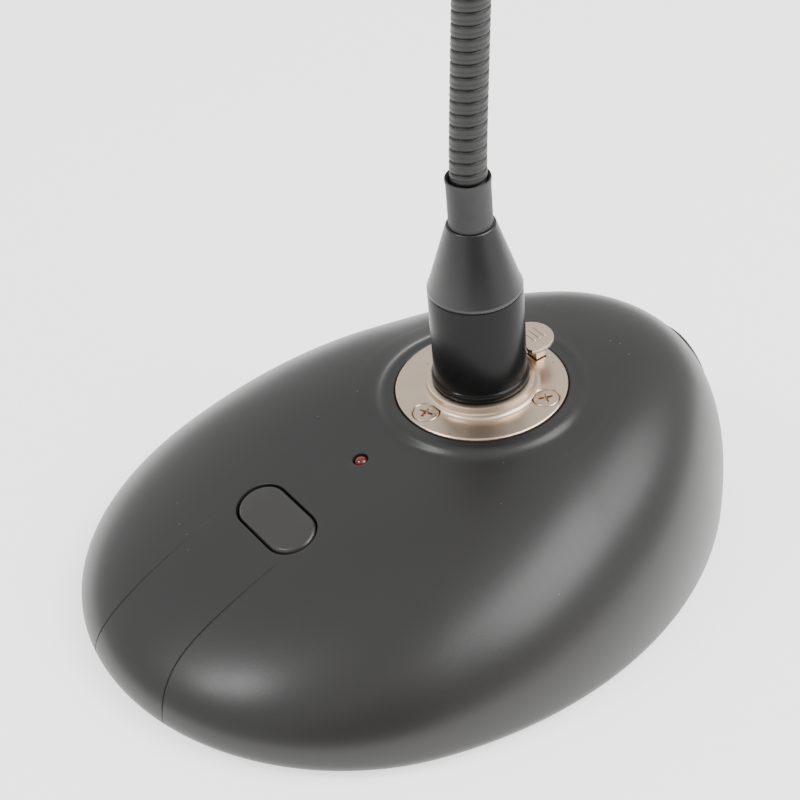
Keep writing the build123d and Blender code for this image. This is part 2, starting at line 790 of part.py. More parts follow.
grille_bottom = housing_top + ring_height
grille_top = grille_bottom + grille_length
dome_radius = head_radius * 0.6
dome_start = grille_top - dome_radius
dome_inner = dome_radius - shell_wall
with BuildPart() as head_grille:
    with BuildSketch(upright_plane):
        with BuildLine():
            Line((head_inner, grille_bottom), (head_radius, grille_bottom))
            Line((head_radius, grille_bottom), (head_radius, dome_start))
            RadiusArc((head_radius, dome_start), (head_radius - dome_radius, grille_top), -dome_radius)
            Line((head_radius - dome_radius, grille_top), (0, grille_top))
            Line((0, grille_top), (0, grille_top - shell_wall))
            Line((0, grille_top - shell_wall), (head_inner - dome_inner, grille_top - shell_wall))
            RadiusArc(
                (head_inner - dome_inner, grille_top - shell_wall), (head_inner, dome_start),
                dome_inner,
            )
            Line((head_inner, dome_start), (head_inner, grille_bottom))
        make_face()
    revolve(axis=upright_axis)
head_grille.part.label = "head_grille"
export_step(head_grille.part, "parts/head_grille.step")

with BuildPart() as mic_capsule:
    with BuildSketch(upright_plane):
        with BuildLine():
            Polyline(
                (0, housing_top - 4), (head_inner - 0.4, housing_top - 4),
                (head_inner - 0.4, housing_top + 2), (0, housing_top + 2), close=True,
            )
        make_face()
    revolve(axis=upright_axis)
mic_capsule.part.label = "mic_capsule"
export_step(mic_capsule.part, "parts/mic_capsule.step")

with BuildPart() as capsule_seat:
    with BuildSketch(upright_plane):
        with BuildLine():
            Polyline(
                (head_inner - 0.4, housing_top - 3.5), (head_inner, housing_top - 3.5),
                (head_inner, housing_top - 0.5), (head_inner - 0.4, housing_top - 0.5),
                close=True,
            )
        make_face()
    revolve(axis=upright_axis)
capsule_seat.part.label = "capsule_seat"
export_step(capsule_seat.part, "parts/capsule_seat.step")

# ---- Output connector in the rear wall ----
output_plane = Plane(origin=(0, output_floor, output_height), x_dir=(-1, 0, 0), z_dir=(0, 1, 0))
output_bore = 8.1
output_depth = 15.0
output_flange = 1.5
with BuildPart() as output_shell:
    with BuildSketch(output_plane):
        Circle(output_radius)
    extrude(amount=output_flange)
    with BuildSketch(output_plane):
        Circle(output_tube)
    extrude(amount=-output_depth)
    with BuildSketch(output_plane.offset(output_flange)):
        Circle(output_bore)
    extrude(amount=-output_flange - output_depth, mode=Mode.SUBTRACT)
    with Locations(output_plane.offset(output_flange)):
        with Locations((-output_screw_x, 0), (output_screw_x, 0)):
            CounterSinkHole(0.95, 1.5, 2, counter_sink_angle=90)
output_shell.part.label = "output_shell"
export_step(output_shell.part, "parts/output_shell.step")

with BuildPart() as output_screws:
    with Locations(output_plane.offset(output_flange)):
        with Locations((-output_screw_x, 0), (output_screw_x, 0)):
            add(countersunk_screw(1.2, 0.9, 5.5))
output_screws.part.label = "output_screws"
export_step(output_screws.part, "parts/output_screws.step")

output_pin_places = PolarLocations(contact_circle, 3, start_angle=-90)
with BuildPart() as output_insert:
    with BuildSketch(output_plane.offset(-output_depth)):
        Circle(output_bore)
        with output_pin_places:
            Circle(pin_radius, mode=Mode.SUBTRACT)
    extrude(amount=3)
output_insert.part.label = "output_insert"
export_step(output_insert.part, "parts/output_insert.step")

with BuildPart() as output_pins:
    with BuildSketch(output_plane.offset(-output_depth - 3)):
        with output_pin_places:
            Circle(pin_radius)
    extrude(amount=output_depth - 1.5)
output_pins.part.label = "output_pins"
export_step(output_pins.part, "parts/output_pins.step")
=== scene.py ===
import json
from math import atan2, cos, hypot, pi, radians, sin, sqrt, tan

import bmesh
import bpy
from mathutils import Matrix, Vector


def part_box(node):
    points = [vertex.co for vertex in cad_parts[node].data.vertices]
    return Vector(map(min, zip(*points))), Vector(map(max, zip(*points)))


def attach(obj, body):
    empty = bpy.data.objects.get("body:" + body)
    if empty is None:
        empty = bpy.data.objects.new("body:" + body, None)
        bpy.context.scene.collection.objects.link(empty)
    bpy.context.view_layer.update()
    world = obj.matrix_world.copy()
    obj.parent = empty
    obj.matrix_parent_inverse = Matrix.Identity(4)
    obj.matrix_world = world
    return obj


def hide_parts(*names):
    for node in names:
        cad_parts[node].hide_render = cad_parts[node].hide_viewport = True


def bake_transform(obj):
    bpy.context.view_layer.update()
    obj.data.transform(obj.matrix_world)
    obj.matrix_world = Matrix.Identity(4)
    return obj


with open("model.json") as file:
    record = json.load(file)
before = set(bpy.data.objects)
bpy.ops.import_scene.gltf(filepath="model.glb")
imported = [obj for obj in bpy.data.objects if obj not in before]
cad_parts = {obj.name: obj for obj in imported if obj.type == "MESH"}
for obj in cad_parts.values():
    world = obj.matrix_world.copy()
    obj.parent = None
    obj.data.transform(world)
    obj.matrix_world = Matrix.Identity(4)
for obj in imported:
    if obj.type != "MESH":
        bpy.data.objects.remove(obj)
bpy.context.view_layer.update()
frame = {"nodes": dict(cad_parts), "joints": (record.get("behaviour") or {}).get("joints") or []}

joints = {joint["name"]: joint for joint in frame["joints"]}

# Upper shell of the base: one smooth moulding in soft-touch painted plastic, egg-shaped from above,
# with a raised seat for the socket, an oblong button opening, a lamp hole and two fine creases that
# run from the button to the nose. Every ring of the mesh is a level of the moulding's own form.
mm = 0.001
nose_radius, side_radius, tail_radius = 55.4 * mm, 98 * mm, 37.5 * mm
stand_height, widest_height, tuck = 1.2 * mm, 4 * mm, 1.8 * mm
wall = 3.2 * mm
roof_slope = tan(radians(6.4))
front_power, side_power, rear_power, wall_power = 1.96, 3.34, 6.3, 1.92
socket_up = Vector(joints["plug_pull"]["axis"])
neck_start = Vector(joints["neck_bend_01"]["pos_m"])
first_joint = 52.9 * mm
socket_point = neck_start - first_joint * socket_up
socket_side = Vector((1, 0, 0))
socket_rear = socket_up.cross(socket_side)
base_front, base_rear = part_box("top_shell")[0].y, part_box("top_shell")[1].y
front_reach = socket_point.y - base_front
rear_reach = base_rear - socket_point.y
roof_rise = socket_point.z - 0.8 * mm - widest_height

nose_y = nose_radius - front_reach
tail_y = rear_reach - tail_radius
side_to_nose, side_to_tail = side_radius - nose_radius, side_radius - tail_radius
arc_span = tail_y - nose_y
side_ahead = (side_to_nose**2 - side_to_tail**2 + arc_span**2) / (2 * arc_span)
side_y = nose_y + side_ahead
side_x = -sqrt(side_to_nose**2 - side_ahead**2)
nose_end = atan2(nose_y - side_y, -side_x)
side_end = atan2(tail_y - side_y, -side_x)


def reach(angle, inset=0.0):
    """Distance from the socket axis to the base's outline, at this angle round from the front."""
    across, back = abs(sin(angle)), -cos(angle)
    arcs = (
        (0, nose_y, nose_radius, -pi, nose_end),
        (side_x, side_y, side_radius, nose_end, side_end),
        (0, tail_y, tail_radius, side_end, pi),
    )
    for x, y, radius, start, end in arcs:
        along = across * x + back * y
        inside = along**2 - x * x - y * y + (radius - inset) ** 2
        if inside < 0:
            continue
        distance = along + sqrt(inside)
        if start <= atan2(back * distance - y, across * distance - x) <= end:
            return distance
    return rear_reach - inset


def power(angle):
    """Roundness of the roof line in this direction."""
    ahead = cos(angle)
    end_power = front_power if ahead > 0 else rear_power
    return side_power + (end_power - side_power) * ahead**2


def roof_point(angle, turn, inset=0.0, rise=roof_rise):
    """Point on the moulding, turn going from 0 at the top to a quarter turn at the widest outline."""
    out = reach(angle, inset) * sin(turn) ** (2 / power(angle))
    back = -cos(angle) * out
    height = widest_height + (rise + roof_slope * back) * cos(turn) ** (2 / wall_power)
    return Vector((sin(angle) * out, socket_point.y + back, height))


def roof_height(x, y):
    """Height of the moulding over this place."""
    angle = atan2(x, socket_point.y - y)
    share = min(hypot(x, y - socket_point.y) / reach(angle), 1)
    return widest_height + (roof_rise + roof_slope * (y - socket_point.y)) * (
        1 - share ** power(angle)
    ) ** (1 / wall_power)


def socket_ring(angle, radius, height):
    """Point round the socket's own axis, at this height above its flange."""
    outward = sin(angle) * socket_side - cos(angle) * socket_rear
    return socket_point + radius * outward + height * socket_up


def height_over_flange(angle, radius):
    """How far above the flange's plane the roof lies, this far from the socket axis."""
    height = 0.0
    for _ in range(6):
        place = socket_ring(angle, radius, height)
        height += roof_height(place.x, place.y) - place.z
    return height


seat_radius, seat_floor, seat_rim = 18.2 * mm, -2 * mm, -0.4 * mm
tube_radius = 12.3 * mm
rim_edge, shoulder = 19.7 * mm, 2.1 * mm
foot_blend = 1.1 * mm
seat_bottom = -7 * mm
blend_out = 26.5 * mm


def seat_height(radius):
    """Height of the raised seat's own rim, shoulder and flank."""
    past = radius - rim_edge
    if past <= 0:
        return seat_rim
    if past < shoulder * 0.85:
        return seat_rim - shoulder + sqrt(shoulder**2 - past**2)
    edge = shoulder * 0.85
    return seat_rim - shoulder + sqrt(shoulder**2 - edge**2) - 1.6 * (past - edge)


def seat_and_roof(angle, radius):
    """Height of the shell round the socket, where seat and roof run into one another softly."""
    seat, roof = seat_height(radius), height_over_flange(angle, radius)
    share = min(max((radius - rim_edge) / shoulder, 0), 1)
    soft = foot_blend * share + 0.02 * mm
    return (seat + roof + sqrt((seat - roof) ** 2 + soft**2)) / 2


columns = 320
angles = [2 * pi * column / columns for column in range(columns)]
rings = []
for radius, height in (
    (tube_radius, seat_bottom), (tube_radius, seat_floor - 0.1 * mm), (tube_radius, seat_floor),
    (seat_radius - 0.1 * mm, seat_floor), (seat_radius, seat_floor + 0.1 * mm),
):
    rings.append([socket_ring(angle, radius, height) for angle in angles])
for radius in (seat_radius, seat_radius + 0.06 * mm, seat_radius + 0.22 * mm):
    drop = 0.22 * mm - (radius - seat_radius)
    rings.append(
        [socket_ring(angle, radius, seat_and_roof(angle, radius) - drop) for angle in angles]
    )
seat_steps = 30
for step in range(1, seat_steps + 1):
    radius = seat_radius + 0.22 * mm + (blend_out - seat_radius) * (step / seat_steps)
    rings.append([socket_ring(angle, radius, seat_and_roof(angle, radius)) for angle in angles])
starts = []
for point in rings[-1]:
    angle = atan2(point.x, socket_point.y - point.y)
    share = hypot(point.x, point.y - socket_point.y) / reach(angle)
    starts.append((angle, atan2(share ** (power(angle) / 2), sqrt(1 - share ** power(angle)))))
wall_steps = 92
for step in range(1, wall_steps + 1):
    share = step / wall_steps
    rings.append(
        [roof_point(angle, start + (pi / 2 - start) * share) for angle, start in starts]
    )


def outline_ring(inset, height):
    """Ring round the base, this far inside its outline."""
    ring = []
    for angle, _ in starts:
        out = reach(angle, inset)
        ring.append(Vector((sin(angle) * out, socket_point.y - cos(angle) * out, height)))
    return ring


def quarter_turns(count):
    """Angles up to a quarter turn, in this many equal steps."""
    return [pi / 2 * step / count for step in range(1, count + 1)]


for turn in quarter_turns(12):
    height = widest_height - (widest_height - stand_height) * sin(turn)
    rings.append(outline_ring(tuck * (1 - cos(turn)), height))
rings.append(outline_ring(wall, stand_height))
rings.append(outline_ring(wall, widest_height))
inner_rise = roof_rise - wall
for step in range(23, -1, -1):
    rings.append(
        [roof_point(angle, start + (pi / 2 - start) * step / 24, wall, inner_rise)
         for angle, start in starts]
    )


def add_piece(name, vertices, faces):
    """New mesh object with its place in its mesh."""
    mesh = bpy.data.meshes.new(name)
    mesh.from_pydata([tuple(vertex) for vertex in vertices], [], faces)
    mesh.validate()
    piece = bpy.data.objects.new(name, mesh)
    bpy.context.scene.collection.objects.link(piece)
    return piece


def face_outwards(piece, merge=0.000004):
    """Merges doubles and turns every face outwards."""
    work = bmesh.new()
    work.from_mesh(piece.data)
    bmesh.ops.remove_doubles(work, verts=work.verts, dist=merge)
    bmesh.ops.recalc_face_normals(work, faces=work.faces)
    work.to_mesh(piece.data)
    work.free()


def smooth(piece, angle=32):
    """Smooth shading with sharp edges where faces meet at more than this angle."""
    piece.data.shade_smooth()
    piece.data.set_sharp_from_angle(angle=radians(angle))


def ring_faces(count, around, closed=False):
    """Faces between rings, and from the last ring back to the first if closed."""
    faces = []
    for ring in range(count if closed else count - 1):
        low, high = ring * around, (ring + 1) % count * around
        for column in range(around):
            after = (column + 1) % around
            faces.append((low + column, low + after, high + after, high + column))
    return faces


def from_rings(name, ring_list, closed=False):
    """Piece made from rings of equally many points, capped at both ends unless closed."""
    around = len(ring_list[0])
    faces = ring_faces(len(ring_list), around, closed)
    if not closed:
        faces.append(tuple(range(around))[::-1])
        last = (len(ring_list) - 1) * around
        faces.append(tuple(range(last, last + around)))
    piece = add_piece(name, [point for ring in ring_list for point in ring], faces)
    face_outwards(piece)
    return piece


base_shell = from_rings("base_shell", rings, closed=True)

button_ahead, lamp_ahead = 51 * mm, 30.6 * mm
button_length, button_width = 21.4 * mm, 11 * mm
lamp_radius = 1.5 * mm


def roof_place(ahead):
    """Point on the roof's middle line and the roof's outward direction there."""
    y = socket_point.y - ahead
    step = 1 * mm
    rise = roof_height(0, y + step) - roof_height(0, y - step)
    return Vector((0, y, roof_height(0, y))), Vector((0, -rise, 2 * step)).normalized()


def oblong(length, width, steps=16):
    """Outline of an oblong with round ends, as pairs across and along the base."""
    radius, straight = width / 2, (length - width) / 2
    points = []
    for side, start in ((1, -pi / 2), (-1, pi / 2)):
        for step in range(steps + 1):
            angle = start + pi * step / steps
            points.append((side * straight + radius * cos(angle), radius * sin(angle)))
    return points


def on_roof(middle, up, pairs, lift):
    """Ring over these pairs, each point this far above the roof itself."""
    across = Vector((1, 0, 0))
    along = up.cross(across)
    ring = []
    for x, y in pairs:
        place = middle + across * x + along * y
        ring.append(Vector((place.x, place.y, roof_height(place.x, place.y))) + up * lift)
    return ring


def opening_cutter(name, middle, up, outline, edge, depth):
    """Solid that cuts an opening with a small rounded edge, following the roof."""
    levels = [(0, -depth), (0, -edge), (0.3 * edge, -0.3 * edge), (edge, 0), (3 * edge, 0.4 * mm)]
    ring_list = [on_roof(middle, up, outline(2 * grow), lift) for grow, lift in levels]
    return from_rings(name, ring_list)


button_middle, button_up = roof_place(button_ahead)
lamp_middle, lamp_up = roof_place(lamp_ahead)
cutters = [
    opening_cutter(
        "button_cutter", button_middle, button_up,
        lambda grow: oblong(button_length + grow, button_width + grow), 0.35 * mm, 6 * mm,
    ),
    opening_cutter(
        "lamp_cutter", lamp_middle, lamp_up,
        lambda grow: [
            ((lamp_radius + 0.12 * mm + grow / 2) * cos(2 * pi * step / 40),
             (lamp_radius + 0.12 * mm + grow / 2) * sin(2 * pi * step / 40))
            for step in range(40)
        ], 0.2 * mm, 6 * mm,
    ),
]

# two fine creases start beside the button, run forward over the nose and down to its lower edge
crease_start, crease_run = button_middle.y - 5 * mm, 32 * mm
crease_half, crease_depth, crease_fade = 0.2 * mm, 0.2 * mm, 4 * mm
crease_first_turn, crease_steps = 0.2, 110


def crease_across(side, y):
    """Place across the base of one crease, this far along the base."""
    share = max((crease_start - y) / crease_run, 0)
    if side < 0:
        return -10.9 * mm + 1.6 * mm * share
    return 9.6 * mm + 1.6 * mm * share + 4.6 * mm * share**8


def crease_place(side, turn):
    """Where one crease crosses one level of the moulding: the angle round the socket and the point."""
    low, high = -1.2, 1.2
    for _ in range(30):
        angle = (low + high) / 2
        point = roof_point(angle, turn)
        if point.x < crease_across(side, point.y):
            low = angle
        else:
            high = angle
    return angle, point


def crease_cutter(side):
    """Thin wedge that follows one crease on the moulding's surface."""
    places = []
    for step in range(crease_steps + 1):
        turn = crease_first_turn + (pi / 2 - crease_first_turn) * step / crease_steps
        places.append(crease_place(side, turn))
    places = [place for place in places if place[1].y < crease_start]
    last_angle = places[-1][0]
    path = [point for _, point in places]
    along_ring = [roof_point(angle + 0.01, pi / 2) - roof_point(angle, pi / 2) for angle, _ in places]
    for turn in quarter_turns(8):
        out = reach(last_angle, tuck * (1 - cos(turn)))
        height = widest_height - (widest_height - stand_height + 0.3 * mm) * sin(turn)
        path.append(Vector((sin(last_angle) * out, socket_point.y - cos(last_angle) * out, height)))
        along_ring.append(along_ring[-1])
    wedge = []
    for number in range(1, len(path) - 1):
        point, forward = path[number], (path[number + 1] - path[number - 1]).normalized()
        outward = forward.cross(along_ring[number]).normalized()
        if outward.dot(point - socket_point + Vector((0, 0, 40 * mm))) < 0:
            outward = -outward
        across = outward.cross(forward)
        deep = min(0.1 + (crease_start - point.y) / crease_fade, 1)
        side_step = across * crease_half * (deep + 0.8)
        lifted = point + outward * crease_depth * 0.8
        wedge.append([point - outward * crease_depth * deep, lifted + side_step, lifted - side_step])
    return from_rings("crease_cutter", wedge)


cutters += [crease_cutter(-1), crease_cutter(1)]


def box_rings(middle, across, along, up, length, width, low, high):
    """Rings of a straight block."""
    corners = ((1, 1), (-1, 1), (-1, -1), (1, -1))
    return [
        [middle + across * (x * length / 2) + along * (y * width / 2) + up * lift for x, y in corners]
        for lift in (low, high)
    ]


# the latch's stem goes down through a slot behind the socket's tube
slot_behind, slot_length, slot_width = 14.7 * mm, 6.4 * mm, 4.9 * mm
slot_low, slot_high = -8 * mm, -1 * mm
cutters.append(from_rings("latch_slot", box_rings(
    socket_point + socket_rear * slot_behind, socket_side, socket_rear, socket_up,
    slot_length, slot_width, slot_low, slot_high)))

outlet_low, outlet_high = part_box("output_shell")
outlet_middle = (outlet_low + outlet_high) / 2
outlet_radius = (outlet_high.x - outlet_low.x) / 2 + 0.3 * mm
outlet_floor = 66 * mm
outlet_rings = []
for y, radius in ((outlet_floor, outlet_radius), (base_rear + 3 * mm, outlet_radius)):
    outlet_rings.append([
        Vector((radius * cos(2 * pi * step / 96), y, outlet_middle.z + radius * sin(2 * pi * step / 96)))
        for step in range(96)
    ])


def boolean(piece, other, operation):
    """Cuts other from piece, or joins it on, and removes other. Both are a thousand times larger while
    they are cut, because the solver takes very short distances for none."""
    for part in (piece, other):
        part.data.transform(Matrix.Scale(1 / mm, 4))
    modifier = piece.modifiers.new(operation.lower(), "BOOLEAN")
    modifier.operation = operation
    modifier.solver = "EXACT"
    modifier.object = other
    evaluated = piece.evaluated_get(bpy.context.evaluated_depsgraph_get())
    mesh = bpy.data.meshes.new_from_object(evaluated)
    piece.modifiers.clear()
    mesh.transform(Matrix.Scale(mm, 4))
    old = piece.data
    piece.data = mesh
    bpy.data.meshes.remove(old)
    bpy.data.objects.remove(other)


def disc_rings(levels, middle, direction, around=96):
    """Rings round a straight axis from pairs of radius and place along it."""
    side = direction.orthogonal().normalized()
    other = direction.cross(side)
    return [
        [middle + direction * along + radius * (
            cos(2 * pi * step / around) * side + sin(2 * pi * step / around) * other)
         for step in range(around)]
        for radius, along in levels
    ]


# the connector's boss stands inside the wall, and the pocket is then cut through both
backwards, outlet_axis = Vector((0, 1, 0)), Vector((0, 0, outlet_middle.z))
boss_radius, boss_front, boss_back = 13.4 * mm, 61.5 * mm, 69.5 * mm
hole_radius, hole_front, hole_back = 9.6 * mm, 55 * mm, 67 * mm
boss = from_rings("outlet_boss", disc_rings(
    ((boss_radius, boss_front), (boss_radius, boss_back)), outlet_axis, backwards))
boolean(base_shell, boss, "UNION")
cutters.append(from_rings("outlet_pocket", outlet_rings))
cutters.append(from_rings("outlet_hole", disc_rings(
    ((hole_radius, hole_front), (hole_radius, hole_back)), outlet_axis, backwards)))
for cutter in cutters:
    boolean(base_shell, cutter, "DIFFERENCE")
smooth(base_shell, 28)


class Wire:
    """A value in a finish. Sums, products and comparisons written with it add Math nodes."""

    def __init__(self, finish, socket):
        self.finish, self.socket = finish, socket

    def maths(self, operation, first, second):
        return self.finish.node(
            "ShaderNodeMath", {"operation": operation}, {0: first, 1: second})

    def __add__(self, other):
        return self.maths("ADD", self, other)

    def __radd__(self, other):
        return self.maths("ADD", other, self)

    def __mul__(self, other):
        return self.maths("MULTIPLY", self, other)

    def __rmul__(self, other):
        return self.maths("MULTIPLY", other, self)

    def __gt__(self, other):
        return self.maths("GREATER_THAN", self, other)

    def __lt__(self, other):
        return self.maths("LESS_THAN", self, other)


class Finish:
    """One finish: a shader with its constant values, and the nodes that feed it."""

    def __init__(self, name, **constants):
        self.material = bpy.data.materials.new(name)
        self.material.use_nodes = True
        self.tree = self.material.node_tree
        self.shader = self.tree.nodes["Principled BSDF"]
        for label, value in constants.items():
            self.shader.inputs[label.replace("_", " ").title().replace("Ior", "IOR")].default_value = value

    def node(self, kind, settings=None, values=None, output=0):
        """Adds a node, with its settings first and then the values or wires of its sockets."""
        made = self.tree.nodes.new(kind)
        for label, value in (settings or {}).items():
            setattr(made, label, value)
        for label, value in (values or {}).items():
            if isinstance(value, Wire):
                self.tree.links.new(value.socket, made.inputs[label])
            else:
                made.inputs[label].default_value = value
        return Wire(self, made.outputs[output])

    def place(self, scale=None):
        """Position on the object, stretched by a Mapping node if a scale is given."""
        position = self.node("ShaderNodeTexCoord", output="Object")
        if scale:
            return self.node("ShaderNodeMapping", None, {"Vector": position, "Scale": scale})
        return position

    def noise(self, scale, detail, vector=None):
        """Cloudy noise over the object, or over a stretched position if one is given."""
        return self.node("ShaderNodeTexNoise", None, {
            "Vector": vector or self.place(), "Scale": scale, "Detail": detail})

    def specks(self, scale, size, share):
        """Mask of small round specks, in this share of the cells."""
        cells = {"Vector": self.place(), "Scale": scale}
        near = self.node("ShaderNodeTexVoronoi", {"feature": "F1"}, cells)
        chosen = self.node("ShaderNodeTexVoronoi", {"feature": "F1"}, cells, output="Color")
        lot = self.node("ShaderNodeSeparateColor", None, {"Color": chosen})
        return (near < size) * (lot < share)

    def blend(self, mask, first, second):
        """Mixes two colours by a mask."""
        return self.node(
            "ShaderNodeMix", {"data_type": "RGBA"}, {0: mask, 6: first, 7: second}, output=2)

    def feed(self, label, wire):
        """Runs a wire to one of the shader's sockets."""
        self.tree.links.new(wire.socket, self.shader.inputs[label])

    def paint(self, mask, first, second):
        """Colours the surface with two colours mixed by a mask."""
        self.feed("Base Color", self.blend(mask, first, second))

    def bump(self, height, distance, strength=1.0):
        """Raises the surface by this height, in metres at full height."""
        self.feed("Normal", self.node("ShaderNodeBump", None, {
            "Height": height, "Distance": distance, "Strength": strength}))


def dress(finish, *pieces):
    """Gives pieces one finish, in every slot they have."""
    for piece in pieces:
        if not piece.material_slots:
            piece.data.materials.append(finish.material)
        for material_slot in piece.material_slots:
            material_slot.material = finish.material
        for polygon in piece.data.polygons:
            polygon.material_index = 0


def grey(value, warmth=0.0):
    """Grey with a slight warm or cold cast."""
    return (value * (1 + warmth), value, value * (1 - warmth), 1)


def soft_touch(name, tone, dust=0.03):
    """Satin soft-touch paint: an even dark coat with a very fine grain and a little dust."""
    finish = Finish(name, specular_ior_level=0.5)
    cloud = finish.noise(28, 3)
    body = finish.blend(cloud, grey(tone * 0.9, 0.03), grey(tone * 1.12, 0.05))
    body = finish.blend(finish.specks(520, 0.08, dust), body, grey(0.11, 0.06))
    body = finish.blend(finish.specks(260, 0.05, dust * 0.8), body, grey(0.006))
    finish.feed("Base Color", body)
    finish.feed("Roughness", 0.29 + 0.08 * finish.noise(60, 3) + 0.02 * finish.noise(900, 1))
    finish.bump(finish.noise(2600, 2), 0.00002, 0.5)
    return finish


shell_paint = soft_touch("shell_paint", 0.017)
dress(shell_paint, base_shell)
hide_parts("top_shell")
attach(base_shell, "root")

# Push button: an oblong moulded cap with a gently crowned top and a rolled edge, on a skirt that keeps
# it in the shell. It is a shade lighter than the shell and slides down its opening.
button_gap = 0.35 * mm
cap_length, cap_width = button_length - 2 * button_gap, button_width - 2 * button_gap
cap_lift, cap_roll, cap_crown = 0.15 * mm, 1.0 * mm, 0.35 * mm
cap_levels = [(0.8 * mm, -6.3 * mm), (0.8 * mm, -5.2 * mm), (0.02 * mm, -5.15 * mm), (0, -5 * mm)]
for turn in [0] + quarter_turns(8):
    cap_levels.append((cap_roll * (cos(turn) - 1), cap_lift - cap_roll * (1 - sin(turn))))
for step in range(1, 9):
    share = step / 9
    cap_levels.append((
        -cap_roll - share * (cap_width / 2 - cap_roll), cap_lift + cap_crown * share * (2 - share) * 0.5))
button_across = Vector((1, 0, 0))
button_along = button_up.cross(button_across)
cap_rings = []
for grow, lift in cap_levels:
    ring = []
    for x, y in oblong(cap_length + 2 * grow, max(cap_width + 2 * grow, 0.02 * mm)):
        bow = 1.1 * (x / cap_length) ** 2 * mm
        ring.append(button_middle + button_across * x + button_along * y + button_up * (lift - bow))
    cap_rings.append(ring)
button_cap = from_rings("button_cap", cap_rings)
smooth(button_cap, 35)
button_plastic = soft_touch("button_plastic", 0.027, 0.006)
dress(button_plastic, button_cap)
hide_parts("push_button")
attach(button_cap, "button")

# Indicator light: a red tinted lamp with a domed end, just below the mouth of its hole.
lamp_levels = [(lamp_radius, -9 * mm), (lamp_radius, -1.2 * mm)]
for turn in quarter_turns(8):
    lamp_levels.append((lamp_radius * max(cos(turn), 0.01), -1.2 * mm + 0.95 * lamp_radius * sin(turn)))
lamp = from_rings("lamp", disc_rings(lamp_levels, lamp_middle, lamp_up, 40))
smooth(lamp, 40)
lamp_plastic = Finish("lamp_plastic", roughness=0.12, specular_ior_level=0.6, coat_roughness=0.08)
lamp_plastic.paint(lamp_plastic.noise(900, 2), (0.07, 0.006, 0.006, 1), (0.16, 0.016, 0.014, 1))
dress(lamp_plastic, lamp)
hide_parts("indicator_light")
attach(lamp, "root")

# Socket flange: cast and nickel-plated, with a round collar, a fillet at its foot and a bright turned
# rim. Three countersunk cross-head screws hold it down on its seat.
bore_radius, collar_radius, flange_radius = 9.75 * mm, 11.3 * mm, 18 * mm
collar_height, flange_thickness, socket_depth = 2.5 * mm, 2 * mm, 18 * mm
tube_outside = bore_radius + 2.25 * mm
flange_profile = [
    (bore_radius, -socket_depth), (bore_radius, collar_height - 0.25 * mm),
    (bore_radius + 0.08 * mm, collar_height - 0.08 * mm), (bore_radius + 0.25 * mm, collar_height),
    (collar_radius - 0.35 * mm, collar_height), (collar_radius - 0.12 * mm, collar_height - 0.08 * mm),
    (collar_radius, collar_height - 0.3 * mm), (collar_radius + 0.05 * mm, 1.3 * mm),
]
for turn in quarter_turns(8):
    flange_profile.append((
        collar_radius + 0.05 * mm + 1.25 * mm * (1 - cos(turn)), 1.3 * mm * (1 - sin(turn))))
flange_profile += [
    (flange_radius - 0.6 * mm, 0), (flange_radius - 0.28 * mm, -0.06 * mm),
    (flange_radius - 0.08 * mm, -0.22 * mm), (flange_radius, -0.5 * mm), (flange_radius, -flange_thickness),
    (tube_outside, -flange_thickness), (tube_outside, -socket_depth),
]
flange = from_rings("flange", disc_rings(flange_profile, socket_point, socket_up, 144), closed=True)

screw_circle = 14.3 * mm
screw_places = [socket_ring(radians(turn), screw_circle, 0) for turn in (0, 120, 240)]
head_radius, sink_radius = 2.7 * mm, 2.9 * mm
for place in screw_places:
    sink = ((1.6 * mm, -4 * mm), (1.6 * mm, -1.5 * mm), (sink_radius, -0.2 * mm),
            (sink_radius + 0.3 * mm, 0.2 * mm))
    cut = disc_rings(sink, place, socket_up, 48)
    boolean(flange, from_rings("sink_cutter", cut), "DIFFERENCE")
stem_behind = tube_outside + 2.6 * mm
boolean(flange, from_rings("stem_hole", box_rings(
    socket_point + socket_rear * stem_behind, socket_side, socket_rear, socket_up,
    3.6 * mm, 2.8 * mm, -3 * mm, 0.5 * mm)), "DIFFERENCE")
smooth(flange, 24)


def cross_outline(arm, half):
    """Outline of a cross with arms this long and this wide to each side."""
    quarter = ((arm, -half), (arm, half), (half, half))
    turns = ((1, 0), (0, 1), (-1, 0), (0, -1))
    return [(x * c - y * s, x * s + y * c) for c, s in turns for x, y in quarter]


flange_screws = None
for number, place in enumerate(screw_places):
    head = [
        (1.4 * mm, -8 * mm), (1.4 * mm, -1.6 * mm), (head_radius, -0.32 * mm), (head_radius, -0.18 * mm),
        (head_radius - 0.12 * mm, -0.06 * mm), (head_radius - 0.7 * mm, 0.02 * mm), (0.3 * mm, 0.08 * mm),
    ]
    screw = from_rings("screw", disc_rings(head, place, socket_up, 48))
    turn = radians(20 + 47 * number)
    across = cos(turn) * socket_side + sin(turn) * socket_rear
    along = socket_up.cross(across)
    recess = []
    for lift, arm, half in ((-0.9 * mm, 0.75 * mm, 0.2 * mm), (0.3 * mm, 1.8 * mm, 0.36 * mm)):
        level = place + socket_up * lift
        recess.append([level + across * x + along * y for x, y in cross_outline(arm, half)])
    boolean(screw, from_rings("recess", recess), "DIFFERENCE")
    if flange_screws is None:
        flange_screws = screw
        continue
    work = bmesh.new()
    work.from_mesh(flange_screws.data)
    work.from_mesh(screw.data)
    work.to_mesh(flange_screws.data)
    work.free()
    bpy.data.objects.remove(screw)
flange_screws.name = "flange_screws_fine"
smooth(flange_screws, 30)


def plated(value):
    """Warm tint of nickel plate."""
    return (value, value * 0.8, value * 0.63, 1)


